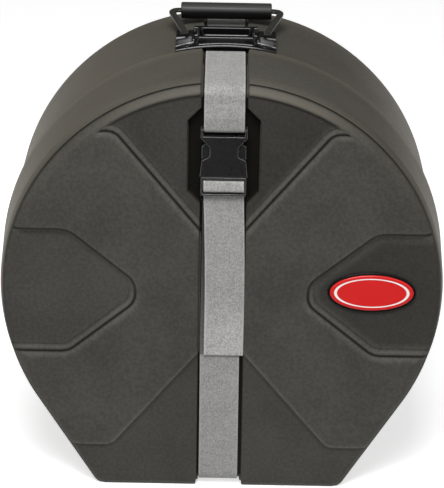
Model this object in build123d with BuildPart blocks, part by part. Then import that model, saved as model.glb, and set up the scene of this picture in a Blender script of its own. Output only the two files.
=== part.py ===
from build123d import *
from math import asin, atan2, cos, degrees, hypot, radians, sin, tan
import os

os.makedirs("parts", exist_ok=True)

# Round of the case: depths run back from the face of the lid, rises run up from the axis of the round
case_depth = 264.0
rim_radius = 222.0
foot_cut = 13.0
side_lean = 32.5
foot_round = 12.0
wall = 4.5
foam_gap = 0.3
overrun = 5.0

# Lid shell, which sleeves over the neck of the body
lid_depth = 101.0
lid_taper = 4.0
lid_shoulder_depth = 22.0
face_taper = 4.8
edge_round = 7.0
inner_round = 3.0

# Body shell
rim_gap = 1.0
neck_length = 31.0
neck_clearance = 0.6
rim_step = 4.0
body_taper = 1.5
rear_round = 8.0

# Strap channel and the deeper recess for the buckle
channel_width = 45.0
channel_depth = 6.5
channel_round = 8.0
buckle_recess_half_width = 35.0
buckle_recess_over = 67.0
buckle_recess_under = 24.0
buckle_recess_chamfer = 12.5
buckle_recess_depth = 12.0

# Relief moulded into the face of the lid
step_run = 4.0
wedge_depth = 4.0
wedge_apex_rise = 41.0
wedge_bend = 105.0
wedge_edge_drop = 46.5
skirt_depth = 2.0
skirt_apex_rise = -36.0
skirt_bend = 107.5
skirt_edge_drop = 49.7
pocket_depth = 5.0
pocket_centre_rise = 1.5
pocket_half_height = 64.3
pocket_shoulder_inset = 62.7
pocket_nose_reach = 62.5
pocket_nose_half_height = 11.0
pocket_corner = 10.0

# Oval badge plate
badge_inset = 66.2
badge_rise = 4.2
badge_half_width = 43.5
badge_half_height = 21.0
badge_thickness = 2.6
bezel_width = 2.2
bezel_round = 0.8
badge_bed = 1.2
badge_dome = 3.4
badge_dome_round = 1.6
badge_clearance = 0.15

# Foam lining
liner_thickness = 18.2
liner_gap = 0.6
rear_pad_thickness = 12.0
lid_pad_thickness = 14.0
lid_pad_inset = 41.0
corner_block_inset = 70.0
corner_block_drop = 79.0
plate_relief = 1.0

# Webbing
strap_width = 39.0
strap_thickness = 1.8
strap_gap = 0.3
strap_end_gap = 0.3
strap_step_start = 1.0
strap_step_run = 10.0
strap_step_round = 4.0
loop_return_height = 63.0
front_layer_depth = 1.2
rear_layer_depth = 6.6
slip_start_height = 72.0
slip_end_height = 59.0
tail_end_rise = -65.0
tail_shift = 2.9
wrap_round = 1.5

# Buckle socket, with heights above its mouth
buckle_drop = 90.2
buckle_stand = 3.0
socket_thickness = 11.0
socket_mouth_half_width = 23.0
socket_window_height = 16.8
socket_window_half_width = 21.0
socket_waist_half_width = 13.5
socket_waist_low_height = 20.5
socket_waist_high_height = 30.0
socket_shoulder_height = 39.5
socket_head_half_width = 22.3
socket_top_height = 48.0
socket_waist_round = 3.5
socket_edge_round = 1.6
socket_cavity_half_width = 19.2
socket_cavity_depth = 6.4
socket_cavity_top_height = 34.3
frame_slot_half_width = 20.2
socket_slot_bottom_height = 40.8
socket_bar_height = 2.5
socket_bar_depth = 2.4
socket_bar_thickness = 3.0
socket_bar_round = 1.0

# Buckle plug
plug_gap = 0.4
plug_half_width = 21.8
plug_thickness = 6.6
plug_stand = 2.5
plug_edge_round = 0.8
ladder_drop = 5.7
ladder_height = 8.1
ladder_depth = -0.4
ladder_thickness = 3.0
slot_height = 3.5
end_bar_height = 1.6
end_bar_thickness = 4.5
tongue_half_width = 2.6
tongue_length = 26.0
tongue_thickness = 5.0

# Latch arms of the plug
latch_root = 15.5
latch_root_radius = 2.5
latch_gap = 0.3
latch_thickness = 5.4
latch_inner = 13.6
latch_outer = 18.3
latch_catch = 21.2
latch_seat_gap = 0.5
latch_top_height = 33.4
latch_tip = 17.0
latch_round = 0.8

# Handle base
base_setback = 9.0
base_length = 46.0
base_half_width = 50.0
base_seat_gap = 0.1
flange_thickness = 3.0
tray_half_width = 33.0
tray_height = 10.5
ear_outer_height = 4.0
ear_inner_height = 5.4
tray_wall = 6.5
tray_front_wall = 4.0
tray_rear_wall = 8.0
tray_floor = 2.8
scoop_length = 9.5
scoop_round = 7.0
base_edge_round = 1.2

# Handle bail, grip and pins
pivot_offset = 42.0
pivot_setback = 36.0
pivot_height = 0.6
pin_radius = 2.0
pin_length = 15.5
pin_clearance = 0.05
eye_radius = 3.4
bail_width = 8.0
bail_thickness = 3.0
bail_reach = 64.6
bail_lift = 9.4
bail_straight = 13.0
bail_spread = 58.0
bail_corner = 9.0
bail_elbow = 12.0
ear_slot_clearance = 0.35
ear_slot_front = 12.0
grip_half_length = 46.3
grip_depth = 18.0
grip_height = 15.0
grip_round = 6.0
grip_end_round = 1.5
grip_clearance = 0.1

# Rivets and backing plates of the handle
rivet_offset = 38.0
rivet_setback = 4.6
rivet_radius = 2.4
rivet_head_radius = 4.3
rivet_head_height = 1.8
rivet_clearance = 0.1
plate_width = 16.0
plate_length = 18.0
plate_thickness = 2.0
plate_gap = 0.5

# Sizes that follow from the ones above
body_start = lid_depth + rim_gap
neck_start = lid_depth - neck_length
front_y = (buckle_stand - case_depth) / 2
centre_height = rim_radius - foot_cut
lid_shoulder_radius = rim_radius - lid_taper
face_radius = lid_shoulder_radius - face_taper
body_front_radius = rim_radius - rim_step
body_rear_radius = body_front_radius - body_taper
wedge_rise = face_radius - wedge_edge_drop
skirt_rise = skirt_edge_drop - face_radius
pocket_shoulder = face_radius - pocket_shoulder_inset
badge_centre = face_radius - badge_inset
pocket_nose = badge_centre - pocket_nose_reach
corner_block_rise = corner_block_drop - body_front_radius
base_front = body_start + base_setback
pivot_depth = base_front + pivot_setback
rivet_depth = base_front + rivet_setback
tray_rise = body_front_radius + tray_height
ear_outer_rise = body_front_radius + ear_outer_height
ear_inner_rise = body_front_radius + ear_inner_height
pivot_rise = body_front_radius + pivot_height

# Rises of the buckle group, all from the mouth of the socket
socket_bottom_rise = face_radius - buckle_drop
socket_window_rise = socket_bottom_rise + socket_window_height
socket_waist_low_rise = socket_bottom_rise + socket_waist_low_height
socket_waist_high_rise = socket_bottom_rise + socket_waist_high_height
socket_shoulder_rise = socket_bottom_rise + socket_shoulder_height
socket_top_rise = socket_bottom_rise + socket_top_height
socket_cavity_top_rise = socket_bottom_rise + socket_cavity_top_height
socket_slot_bottom_rise = socket_bottom_rise + socket_slot_bottom_height
buckle_recess_top = socket_bottom_rise + buckle_recess_over
buckle_recess_bottom = socket_bottom_rise - buckle_recess_under
slip_start_rise = socket_bottom_rise + slip_start_height
slip_end_rise = socket_bottom_rise + slip_end_height
loop_return_rise = socket_bottom_rise + loop_return_height
latch_top_rise = socket_bottom_rise + latch_top_height
ladder_rise = socket_bottom_rise - ladder_drop


def y_at(depth):
    return front_y + depth


def depth_plane(depth):
    """Upright plane at a depth behind the face of the lid, seen from the front."""
    return Plane.XZ.offset(-y_at(depth))


def at(across, rise):
    return (across, centre_height + rise)


def lid_radius(depth):
    """The lid opens quickly behind its front edge and then slowly to its rim."""
    if depth < lid_shoulder_depth:
        share = depth / lid_shoulder_depth
        return face_radius + share * (lid_shoulder_radius - face_radius)
    share = (depth - lid_shoulder_depth) / (lid_depth - lid_shoulder_depth)
    return lid_shoulder_radius + share * (rim_radius - lid_shoulder_radius)


def body_radius(depth):
    share = (depth - body_start) / (case_depth - body_start)
    return body_front_radius + share * (body_rear_radius - body_front_radius)


def case_outline(depth, radius, inset):
    """Round top with straight tangent sides that lean in to a flat foot, drawn inset from the outside."""
    size = radius - inset
    side_x = size * cos(radians(side_lean))
    side_z = centre_height - size * sin(radians(side_lean))
    foot_x = side_x - (side_z - inset) * tan(radians(side_lean))
    with BuildSketch(depth_plane(depth)) as outline:
        with BuildLine():
            ThreePointArc((side_x, side_z), (0, centre_height + size), (-side_x, side_z))
            Polyline((-side_x, side_z), (-foot_x, inset), (foot_x, inset), (side_x, side_z))
        make_face()
        fillet(outline.vertices().group_by(Axis.Y)[0], radius=foot_round)
    return outline.sketch


def lid_form(inset, front_round):
    """Outside form of the lid, or the same form drawn in by an inset on every side."""
    with BuildPart() as form:
        shoulder = case_outline(lid_shoulder_depth, lid_shoulder_radius, inset)
        loft([case_outline(inset, lid_radius(inset), inset), shoulder], ruled=True)
        loft([shoulder, case_outline(lid_depth, rim_radius, inset)], ruled=True)
        fillet(form.faces().sort_by(Axis.Y)[0].edges(), radius=front_round)
    return form.part


def body_form(inset, back_round):
    """Outside form of the body behind its shoulder, or the same form drawn in."""
    back = case_depth - inset
    with BuildPart() as form:
        loft(
            [case_outline(body_start, body_front_radius, inset), case_outline(back, body_radius(back), inset)],
            ruled=True,
        )
        fillet(form.faces().sort_by(Axis.Y)[-1].edges(), radius=back_round)
    return form.part


def neck_form(inset):
    """Neck of the body, which follows the inside of the lid with the neck clearance."""
    seat = wall + neck_clearance + inset
    end = body_start + wall
    with BuildPart() as form:
        loft([case_outline(neck_start, lid_radius(neck_start), seat), case_outline(end, lid_radius(end), seat)],
             ruled=True)
    return form.part


def channel_tool(core, width, start, end):
    """Everything outside a core within the width of a channel that runs round the case."""
    with BuildPart() as tool:
        with BuildSketch(depth_plane(start)):
            with Locations((0, centre_height)):
                Rectangle(width, rim_radius + rim_radius + centre_height)
        extrude(amount=start - end)
        add(core, mode=Mode.SUBTRACT)
    return tool.part


def recess_tool(points, corner, depth, run, grow):
    """Recess with sloping sides; grown by the wall it gives the bulge inside the lid."""
    sections = []
    for level, spread in ((0, run / 2 + grow), (depth + grow, grow - run / 2)):
        with BuildSketch(depth_plane(level)) as section:
            with BuildLine():
                Polyline(*points, close=True)
            make_face()
            if corner > 0:
                inner = [v for v in section.vertices() if abs(v.X) < pocket_shoulder + corner]
                fillet(inner, radius=corner)
            offset(amount=spread, kind=Kind.INTERSECTION)
        sections.append(section.sketch)
    with BuildPart() as tool:
        loft(sections, ruled=True)
    return tool.part


reach = rim_radius + overrun
wedge_points = [
    at(-reach, wedge_rise), at(-wedge_bend, wedge_rise), at(0, wedge_apex_rise), at(wedge_bend, wedge_rise),
    at(reach, wedge_rise), at(reach, reach), at(-reach, reach),
]
skirt_points = [
    at(-reach, skirt_rise), at(-skirt_bend, skirt_rise), at(0, skirt_apex_rise), at(skirt_bend, skirt_rise),
    at(reach, skirt_rise), at(reach, -reach), at(-reach, -reach),
]
pocket_top = pocket_centre_rise + pocket_half_height
pocket_bottom = pocket_centre_rise - pocket_half_height
nose_top = pocket_centre_rise + pocket_nose_half_height
nose_bottom = pocket_centre_rise - pocket_nose_half_height
recess_flank_top = buckle_recess_top - buckle_recess_chamfer
recess_flank_bottom = buckle_recess_bottom + buckle_recess_chamfer
recess_end_half_width = buckle_recess_half_width - buckle_recess_chamfer
buckle_recess_points = [
    at(-recess_end_half_width, buckle_recess_bottom), at(recess_end_half_width, buckle_recess_bottom),
    at(buckle_recess_half_width, recess_flank_bottom), at(buckle_recess_half_width, recess_flank_top),
    at(recess_end_half_width, buckle_recess_top), at(-recess_end_half_width, buckle_recess_top),
    at(-buckle_recess_half_width, recess_flank_top), at(-buckle_recess_half_width, recess_flank_bottom),
]


def pocket_points(side):
    """Side pocket: open to the edge of the lid and narrowing to a blunt nose beside the channel."""
    return [
        at(side * reach, pocket_top), at(side * pocket_shoulder, pocket_top), at(side * pocket_nose, nose_top),
        at(side * pocket_nose, nose_bottom), at(side * pocket_shoulder, pocket_bottom),
        at(side * reach, pocket_bottom),
    ]


def lid_recesses(grow):
    """All recesses in the face of the lid as cutting tools."""
    return [
        recess_tool(wedge_points, 0, wedge_depth, step_run, grow),
        recess_tool(skirt_points, 0, skirt_depth, step_run, grow),
        recess_tool(pocket_points(-1), pocket_corner, pocket_depth, step_run, grow),
        recess_tool(pocket_points(1), pocket_corner, pocket_depth, step_run, grow),
        recess_tool(buckle_recess_points, 0, buckle_recess_depth, 0, grow),
    ]


# Lid shell: constant wall, so that every recess outside is a bulge inside
with BuildPart() as lid_cavity:
    add(lid_form(wall, inner_round))
    bulge_core = lid_form(channel_depth + wall, inner_round)
    add(channel_tool(bulge_core, channel_width + 2 * wall, -overrun, lid_depth), mode=Mode.SUBTRACT)
    for bulge in lid_recesses(wall):
        add(bulge, mode=Mode.SUBTRACT)

with BuildPart() as lid_shell:
    add(lid_form(0, edge_round))
    channel_core = lid_form(channel_depth, channel_round)
    add(channel_tool(channel_core, channel_width, -overrun, lid_depth), mode=Mode.SUBTRACT)
    for cut in lid_recesses(0):
        add(cut, mode=Mode.SUBTRACT)
    add(lid_cavity.part, mode=Mode.SUBTRACT)
lid_shell.part.label = "lid_shell"
export_step(lid_shell.part, "parts/lid_shell.step")


# Rivet lines through the handle base, radial to the round
def radial_plane(side, radius, depth):
    """Plane square to a radius of the round, at the angle of the rivets, facing outwards."""
    lean = asin(rivet_offset / body_front_radius)
    outward = Vector(side * sin(lean), 0, cos(lean))
    centre = Vector(0, y_at(depth), centre_height)
    return Plane(origin=centre + outward * radius, x_dir=(0, 1, 0), z_dir=outward)


seat_radius = body_radius(base_front) + base_seat_gap
flange_radius = seat_radius + flange_thickness
inner_radius = body_radius(rivet_depth) - wall
plate_face = inner_radius - plate_gap
plate_back = plate_face - plate_thickness

# Body shell: neck, shoulder, straight walls and back, with the channel sunk all round
with BuildPart() as body_cavity:
    add(body_form(wall, inner_round))
    body_bulge_core = body_form(channel_depth + wall, inner_round)
    add(channel_tool(body_bulge_core, channel_width + 2 * wall, body_start, case_depth), mode=Mode.SUBTRACT)

neck_channel_width = channel_width + 2 * (wall + neck_clearance)
with BuildPart() as neck_cavity:
    add(neck_form(wall))
    neck_bulge = channel_tool(neck_form(channel_depth + wall), neck_channel_width + 2 * wall,
                              neck_start, body_start + wall)
    add(neck_bulge, mode=Mode.SUBTRACT)

with BuildPart() as body_shell:
    add(body_form(0, rear_round))
    add(neck_form(0))
    body_core = body_form(channel_depth, channel_round)
    add(channel_tool(body_core, channel_width, body_start, case_depth + overrun), mode=Mode.SUBTRACT)
    neck_slot = channel_tool(neck_form(channel_depth), neck_channel_width, neck_start - overrun, body_start)
    add(neck_slot, mode=Mode.SUBTRACT)
    add(body_cavity.part, mode=Mode.SUBTRACT)
    add(neck_cavity.part, mode=Mode.SUBTRACT)
    for side in (-1, 1):
        with BuildSketch(radial_plane(side, flange_radius, rivet_depth)):
            Circle(rivet_radius + rivet_clearance)
        extrude(amount=plate_back - flange_radius, mode=Mode.SUBTRACT)
body_shell.part.label = "body_shell"
export_step(body_shell.part, "parts/body_shell.step")


def notch_rise(radius, width):
    """Rise at which a notch of this width clears a round bulge of this radius."""
    return (radius * radius - width * width / 4) ** 0.5


# Foam ring that lines the body, a band bent round the drum and open over the bottom channel
liner_radius = lid_radius(neck_start) - wall - neck_clearance - wall - liner_gap
liner_inner_radius = liner_radius - liner_thickness
liner_start = neck_start + foam_gap
rear_pad_front = case_depth - wall - foam_gap - rear_pad_thickness
liner_end = rear_pad_front - foam_gap
neck_floor = wall + neck_clearance + wall + foam_gap
liner_notch_width = neck_channel_width + 2 * (wall + foam_gap)
with BuildPart() as body_side_liner:
    with BuildSketch(depth_plane(liner_start)):
        with Locations((0, centre_height)):
            Circle(liner_radius)
            Circle(liner_inner_radius, mode=Mode.SUBTRACT)
        with Locations((0, neck_floor)):
            Rectangle(rim_radius, rim_radius, align=(Align.CENTER, Align.MAX), mode=Mode.SUBTRACT)
            Rectangle(liner_notch_width, centre_height, align=(Align.CENTER, Align.MIN), mode=Mode.SUBTRACT)
        with Locations(at(0, notch_rise(lid_radius(neck_start) - neck_floor - channel_depth, liner_notch_width))):
            Rectangle(liner_notch_width, rim_radius, align=(Align.CENTER, Align.MIN), mode=Mode.SUBTRACT)
    extrude(amount=liner_start - liner_end)
    for side in (-1, 1):
        with BuildSketch(radial_plane(side, inner_radius, rivet_depth)):
            Rectangle(plate_length + 2 * plate_relief, plate_width + 2 * plate_relief)
        extrude(amount=plate_back - rivet_head_height - plate_relief - inner_radius, mode=Mode.SUBTRACT)
body_side_liner.part.label = "body_side_liner"
export_step(body_side_liner.part, "parts/body_side_liner.step")

# Foam sheet on the back wall of the body
with BuildPart() as body_rear_pad:
    add(body_form(wall + foam_gap, inner_round))
    split(bisect_by=depth_plane(rear_pad_front), keep=Keep.BOTTOM)
    pad_core = body_form(channel_depth + wall + foam_gap, inner_round)
    pad_channel_width = channel_width + 2 * (wall + foam_gap)
    add(channel_tool(pad_core, pad_channel_width, rear_pad_front - overrun, case_depth), mode=Mode.SUBTRACT)
body_rear_pad.part.label = "body_rear_pad"
export_step(body_rear_pad.part, "parts/body_rear_pad.step")

# Foam blocks that fill the two foot corners below the ring
with BuildPart() as corner_block:
    add(body_form(wall + foam_gap, inner_round))
    split(bisect_by=depth_plane(body_start + wall + foam_gap), keep=Keep.BOTTOM)
    split(bisect_by=depth_plane(liner_end), keep=Keep.TOP)
    with BuildSketch(depth_plane(body_start)):
        with Locations((0, centre_height)):
            Circle(liner_radius + foam_gap)
        with Locations(at(0, corner_block_rise)):
            Rectangle(2 * reach, 2 * reach, align=(Align.CENTER, Align.MIN))
        with Locations((corner_block_inset, 0)):
            Rectangle(2 * reach, reach, align=(Align.MAX, Align.MIN))
    extrude(amount=body_start - case_depth, mode=Mode.SUBTRACT)
corner_block.part.label = "body_corner_block_right"
export_step(corner_block.part, "parts/body_corner_block_right.step")
with BuildPart() as left_corner_block:
    mirror(corner_block.part, about=Plane.YZ)
left_corner_block.part.label = "body_corner_block_left"
export_step(left_corner_block.part, "parts/body_corner_block_left.step")

# Foam sheets behind the face of the lid, one each side of the channel
lid_pad_front = wall + pocket_depth + foam_gap
lid_pad_back = lid_pad_front + lid_pad_thickness
with BuildPart() as lid_pad:
    add(lid_form(wall + foam_gap, inner_round))
    split(bisect_by=depth_plane(lid_pad_front), keep=Keep.BOTTOM)
    split(bisect_by=depth_plane(lid_pad_back), keep=Keep.TOP)
    with BuildSketch(depth_plane(0)):
        with Locations((lid_pad_inset, 0)):
            Rectangle(2 * reach, 4 * reach, align=(Align.MAX, Align.CENTER))
    extrude(amount=-lid_depth, mode=Mode.SUBTRACT)
lid_pad.part.label = "lid_pad_right"
export_step(lid_pad.part, "parts/lid_pad_right.step")
with BuildPart() as left_lid_pad:
    mirror(lid_pad.part, about=Plane.YZ)
left_lid_pad.part.label = "lid_pad_left"
export_step(left_lid_pad.part, "parts/lid_pad_left.step")

# Foam ring inside the wall of the lid
lid_liner_start = lid_pad_back + foam_gap
lid_liner_end = neck_start - foam_gap
lid_floor = wall + foam_gap
lid_notch_width = channel_width + 2 * (wall + foam_gap)
with BuildPart() as lid_side_liner:
    with BuildSketch(depth_plane(lid_liner_start)):
        with Locations((0, centre_height)):
            Circle(liner_radius)
            Circle(liner_inner_radius, mode=Mode.SUBTRACT)
        with Locations((0, lid_floor)):
            Rectangle(rim_radius, rim_radius, align=(Align.CENTER, Align.MAX), mode=Mode.SUBTRACT)
            Rectangle(lid_notch_width, centre_height, align=(Align.CENTER, Align.MIN), mode=Mode.SUBTRACT)
        bulge_radius = lid_radius(lid_liner_start) - channel_depth - lid_floor
        with Locations(at(0, notch_rise(bulge_radius, lid_notch_width))):
            Rectangle(lid_notch_width, rim_radius, align=(Align.CENTER, Align.MIN), mode=Mode.SUBTRACT)
    extrude(amount=lid_liner_start - lid_liner_end)
lid_side_liner.part.label = "lid_side_liner"
export_step(lid_side_liner.part, "parts/lid_side_liner.step")

# Badge: a black oval bezel on the floor of the right pocket with a domed face set in it
face_half_width = badge_half_width - bezel_width
face_half_height = badge_half_height - bezel_width
with BuildPart() as badge_bezel:
    with BuildSketch(depth_plane(pocket_depth)):
        with Locations(at(badge_centre, badge_rise)):
            Ellipse(badge_half_width, badge_half_height)
    extrude(amount=badge_thickness)
    fillet(badge_bezel.faces().sort_by(Axis.Y)[0].edges(), radius=bezel_round)
    with BuildSketch(depth_plane(pocket_depth - badge_bed)):
        with Locations(at(badge_centre, badge_rise)):
            Ellipse(face_half_width, face_half_height)
    extrude(amount=badge_thickness, mode=Mode.SUBTRACT)
badge_bezel.part.label = "badge_bezel"
export_step(badge_bezel.part, "parts/badge_bezel.step")

with BuildPart() as badge_face:
    with BuildSketch(depth_plane(pocket_depth - badge_bed)):
        with Locations(at(badge_centre, badge_rise)):
            Ellipse(face_half_width - badge_clearance, face_half_height - badge_clearance)
    extrude(amount=badge_dome - badge_bed)
    fillet(badge_face.faces().sort_by(Axis.Y)[0].edges(), radius=badge_dome_round)
badge_face.part.label = "badge_face"
export_step(badge_face.part, "parts/badge_face.step")


# Webbing: every run is a band of one thickness that follows a path seen from the side
def webbing(points, rounds):
    """Band along a path of (depth, height) points with rounded corners."""
    with BuildPart() as band:
        with BuildSketch(Plane.YZ):
            with BuildLine():
                FilletPolyline(*[(y_at(depth), height) for depth, height in points], radius=rounds)
            trace(line_width=strap_thickness)
        extrude(amount=strap_width / 2, both=True)
    return band.part


lift = strap_gap + strap_thickness / 2
run_depth = channel_depth - lift
under_height = channel_depth - lift
turn_round = channel_round + lift


def lid_top(depth):
    return centre_height + lid_radius(depth) - channel_depth + lift


def body_top(depth):
    return centre_height + body_radius(depth) - channel_depth + lift


loop_round = (rear_layer_depth - front_layer_depth) / 2 - strap_gap / 2
bar_bottom_rise = socket_top_rise - socket_bar_height
loop_height = centre_height + bar_bottom_rise - lift
with BuildPart() as upper_strap:
    upper_path = [
        (lid_depth, lid_top(lid_depth)),
        (lid_shoulder_depth, lid_top(lid_shoulder_depth)),
        (run_depth, lid_top(run_depth)),
        (run_depth, centre_height + slip_start_rise),
        (front_layer_depth, centre_height + slip_end_rise),
        (front_layer_depth, loop_height),
        (rear_layer_depth, loop_height),
        (rear_layer_depth, centre_height + loop_return_rise),
    ]
    add(webbing(upper_path, [turn_round, turn_round, turn_round, turn_round, loop_round, loop_round]))
upper_strap.part.label = "upper_strap"
export_step(upper_strap.part, "parts/upper_strap.step")

back_depth = case_depth - run_depth
rear_strap_start = lid_depth + strap_end_gap
step_end = body_start + strap_step_run
with BuildPart() as rear_strap:
    rear_path = [
        (rear_strap_start, lid_top(lid_depth)),
        (body_start + strap_step_start, lid_top(lid_depth)),
        (step_end, body_top(step_end)),
        (back_depth, body_top(back_depth)),
        (back_depth, under_height),
        (rear_strap_start, under_height),
    ]
    add(webbing(rear_path, [strap_step_round, strap_step_round, turn_round, turn_round]))
rear_strap.part.label = "rear_strap"
export_step(rear_strap.part, "parts/rear_strap.step")

# The load run ends behind the ladder bar, where the wrapped end of the tail takes over
load_end_rise = ladder_rise - ladder_height / 2
with BuildPart() as lower_strap:
    lower_path = [
        (lid_depth, under_height),
        (run_depth, under_height),
        (run_depth, centre_height + load_end_rise),
    ]
    add(webbing(lower_path, [turn_round]))
lower_strap.part.label = "lower_strap"
export_step(lower_strap.part, "parts/lower_strap.step")

inner_slot_height = centre_height + ladder_rise + lift
outer_slot_height = centre_height + ladder_rise - ladder_height - lift
over_bar_depth = ladder_depth - lift
tail_depth = run_depth - strap_thickness - strap_gap
end_bar_rise = ladder_rise - ladder_height - slot_height
tail_top_rise = end_bar_rise
with BuildPart() as strap_tail:
    wrap_path = [
        (run_depth, centre_height + load_end_rise + strap_end_gap),
        (run_depth, inner_slot_height),
        (over_bar_depth, inner_slot_height),
        (over_bar_depth, outer_slot_height),
        (tail_depth, outer_slot_height),
        (tail_depth, centre_height + tail_top_rise),
    ]
    add(webbing(wrap_path, [wrap_round, wrap_round, wrap_round, wrap_round]))
    with BuildSketch(depth_plane(tail_depth + strap_thickness / 2)):
        with BuildLine():
            half = strap_width / 2
            Polyline(
                at(-half, tail_top_rise), at(half, tail_top_rise), at(half + tail_shift, tail_end_rise),
                at(tail_shift - half, tail_end_rise), close=True,
            )
        make_face()
    extrude(amount=strap_thickness)
strap_tail.part.label = "strap_tail"
export_step(strap_tail.part, "parts/strap_tail.step")

# Buckle socket: a flat box with a wide mouth, a waist that bares the latch arms and a bar for the webbing
socket_front = -buckle_stand
buckle_middle = socket_front + socket_thickness / 2
cavity_front = buckle_middle - socket_cavity_depth / 2
with BuildPart() as buckle_socket:
    with BuildSketch(depth_plane(socket_front)) as socket_outline:
        with BuildLine():
            half_outline = [
                (socket_mouth_half_width, socket_bottom_rise),
                (socket_window_half_width, socket_window_rise),
                (socket_waist_half_width, socket_waist_low_rise),
                (socket_waist_half_width, socket_waist_high_rise),
                (socket_head_half_width, socket_shoulder_rise),
                (socket_head_half_width, socket_top_rise),
            ]
            right = [at(across, rise) for across, rise in half_outline]
            left = [at(-across, rise) for across, rise in reversed(half_outline)]
            Polyline(*right, *left, close=True)
        make_face()
        waist = [v for v in socket_outline.vertices() if abs(v.X) < socket_waist_half_width + socket_edge_round]
        fillet(waist, radius=socket_waist_round)
    extrude(amount=-socket_thickness)
    long_edges = buckle_socket.edges().filter_by(GeomType.LINE).filter_by(Axis.Y, reverse=True)
    fillet(long_edges.filter_by(Axis.X).group_by(Axis.Z)[0], radius=socket_edge_round)
    with BuildSketch(depth_plane(cavity_front)):
        with Locations(at(0, socket_bottom_rise)):
            Rectangle(2 * socket_cavity_half_width, socket_cavity_top_rise - socket_bottom_rise,
                      align=(Align.CENTER, Align.MIN))
    extrude(amount=-socket_cavity_depth, mode=Mode.SUBTRACT)
    with BuildSketch(depth_plane(socket_front)):
        with Locations(at(0, socket_slot_bottom_rise)):
            Rectangle(2 * frame_slot_half_width, bar_bottom_rise - socket_slot_bottom_rise,
                      align=(Align.CENTER, Align.MIN))
    extrude(amount=-socket_thickness, mode=Mode.SUBTRACT)
    for start, end in ((socket_front, socket_bar_depth),
                       (socket_bar_depth + socket_bar_thickness, socket_front + socket_thickness)):
        with BuildSketch(depth_plane(start)):
            with Locations(at(0, bar_bottom_rise)):
                Rectangle(2 * frame_slot_half_width, socket_bar_height + overrun, align=(Align.CENTER, Align.MIN))
        extrude(amount=start - end, mode=Mode.SUBTRACT)
    bar_edges = buckle_socket.edges().filter_by(Axis.X).filter_by_position(
        Axis.Z, *[height for _, height in (at(0, bar_bottom_rise), at(0, socket_top_rise))])
    fillet(bar_edges.filter_by_position(Axis.Y, y_at(socket_bar_depth),
                                        y_at(socket_bar_depth + socket_bar_thickness)), radius=socket_bar_round)
buckle_socket.part.label = "buckle_socket"
export_step(buckle_socket.part, "parts/buckle_socket.step")

# Buckle plug: ladder frame that grips the webbing and a tongue that guides it into the socket
plug_top_rise = socket_bottom_rise - plug_gap
plug_bottom_rise = end_bar_rise - end_bar_height
plug_front = -plug_stand
with BuildPart() as buckle_plug:
    with BuildSketch(depth_plane(plug_front)):
        with Locations(at(0, plug_bottom_rise)):
            Rectangle(2 * plug_half_width, plug_top_rise - plug_bottom_rise, align=(Align.CENTER, Align.MIN))
    extrude(amount=-plug_thickness)
    fillet(buckle_plug.edges().filter_by(Axis.Y), radius=plug_edge_round)
    for low, high in ((ladder_rise, ladder_rise + slot_height), (end_bar_rise, end_bar_rise + slot_height)):
        with BuildSketch(depth_plane(plug_front)):
            with Locations(at(0, low)):
                Rectangle(2 * frame_slot_half_width, high - low, align=(Align.CENTER, Align.MIN))
        extrude(amount=-plug_thickness, mode=Mode.SUBTRACT)
    for start, end in ((plug_front, ladder_depth), (ladder_depth + ladder_thickness, plug_front + plug_thickness)):
        with BuildSketch(depth_plane(start)):
            with Locations(at(0, ladder_rise)):
                Rectangle(2 * frame_slot_half_width, ladder_height, align=(Align.CENTER, Align.MAX))
        extrude(amount=start - end, mode=Mode.SUBTRACT)
    with BuildSketch(depth_plane(plug_front + end_bar_thickness)):
        with Locations(at(0, end_bar_rise)):
            Rectangle(2 * frame_slot_half_width, end_bar_height + overrun, align=(Align.CENTER, Align.MAX))
    extrude(amount=end_bar_thickness - plug_thickness, mode=Mode.SUBTRACT)
    with BuildSketch(depth_plane(buckle_middle - tongue_thickness / 2)):
        with Locations(at(0, plug_top_rise)):
            Rectangle(2 * tongue_half_width, tongue_length, align=(Align.CENTER, Align.MIN))
    extrude(amount=-tongue_thickness)
    with BuildSketch(depth_plane(plug_front + plug_thickness)):
        with Locations(at(0, plug_top_rise)):
            Rectangle(2 * tongue_half_width, slot_height / 2, align=(Align.CENTER, Align.MAX))
    extrude(amount=plug_front + plug_thickness - buckle_middle - tongue_thickness / 2)
buckle_plug.part.label = "buckle_plug"
export_step(buckle_plug.part, "parts/buckle_plug.step")


def window_rise(across):
    """Rise of the lower edge of the waist opening, on which the latch arms catch."""
    share = (socket_window_half_width - across) / (socket_window_half_width - socket_waist_half_width)
    return socket_window_rise + share * (socket_waist_low_rise - socket_window_rise)


# Latch arms: each turns at its round root when it is pressed in through the waist of the socket
latch_root_rise = plug_top_rise + latch_gap + latch_root_radius
with BuildPart() as latch_right:
    with BuildSketch(depth_plane(buckle_middle - latch_thickness / 2)) as latch_outline:
        with BuildLine():
            Polyline(
                at(latch_inner, latch_root_rise), at(latch_outer, latch_root_rise),
                at(latch_outer, window_rise(latch_outer) + latch_seat_gap),
                at(latch_catch, window_rise(latch_catch) + latch_seat_gap),
                at(latch_catch, socket_waist_high_rise), at(latch_tip, latch_top_rise),
                at(latch_inner, latch_top_rise), close=True,
            )
        make_face()
        fillet(latch_outline.vertices().group_by(Axis.Y)[-1], radius=latch_round)
        with Locations(at(latch_root, latch_root_rise)):
            Circle(latch_root_radius)
    extrude(amount=-latch_thickness)
latch_right.part.label = "latch_right"
export_step(latch_right.part, "parts/latch_right.step")
with BuildPart() as latch_left:
    mirror(latch_right.part, about=Plane.YZ)
latch_left.part.label = "latch_left"
export_step(latch_left.part, "parts/latch_left.step")

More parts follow.
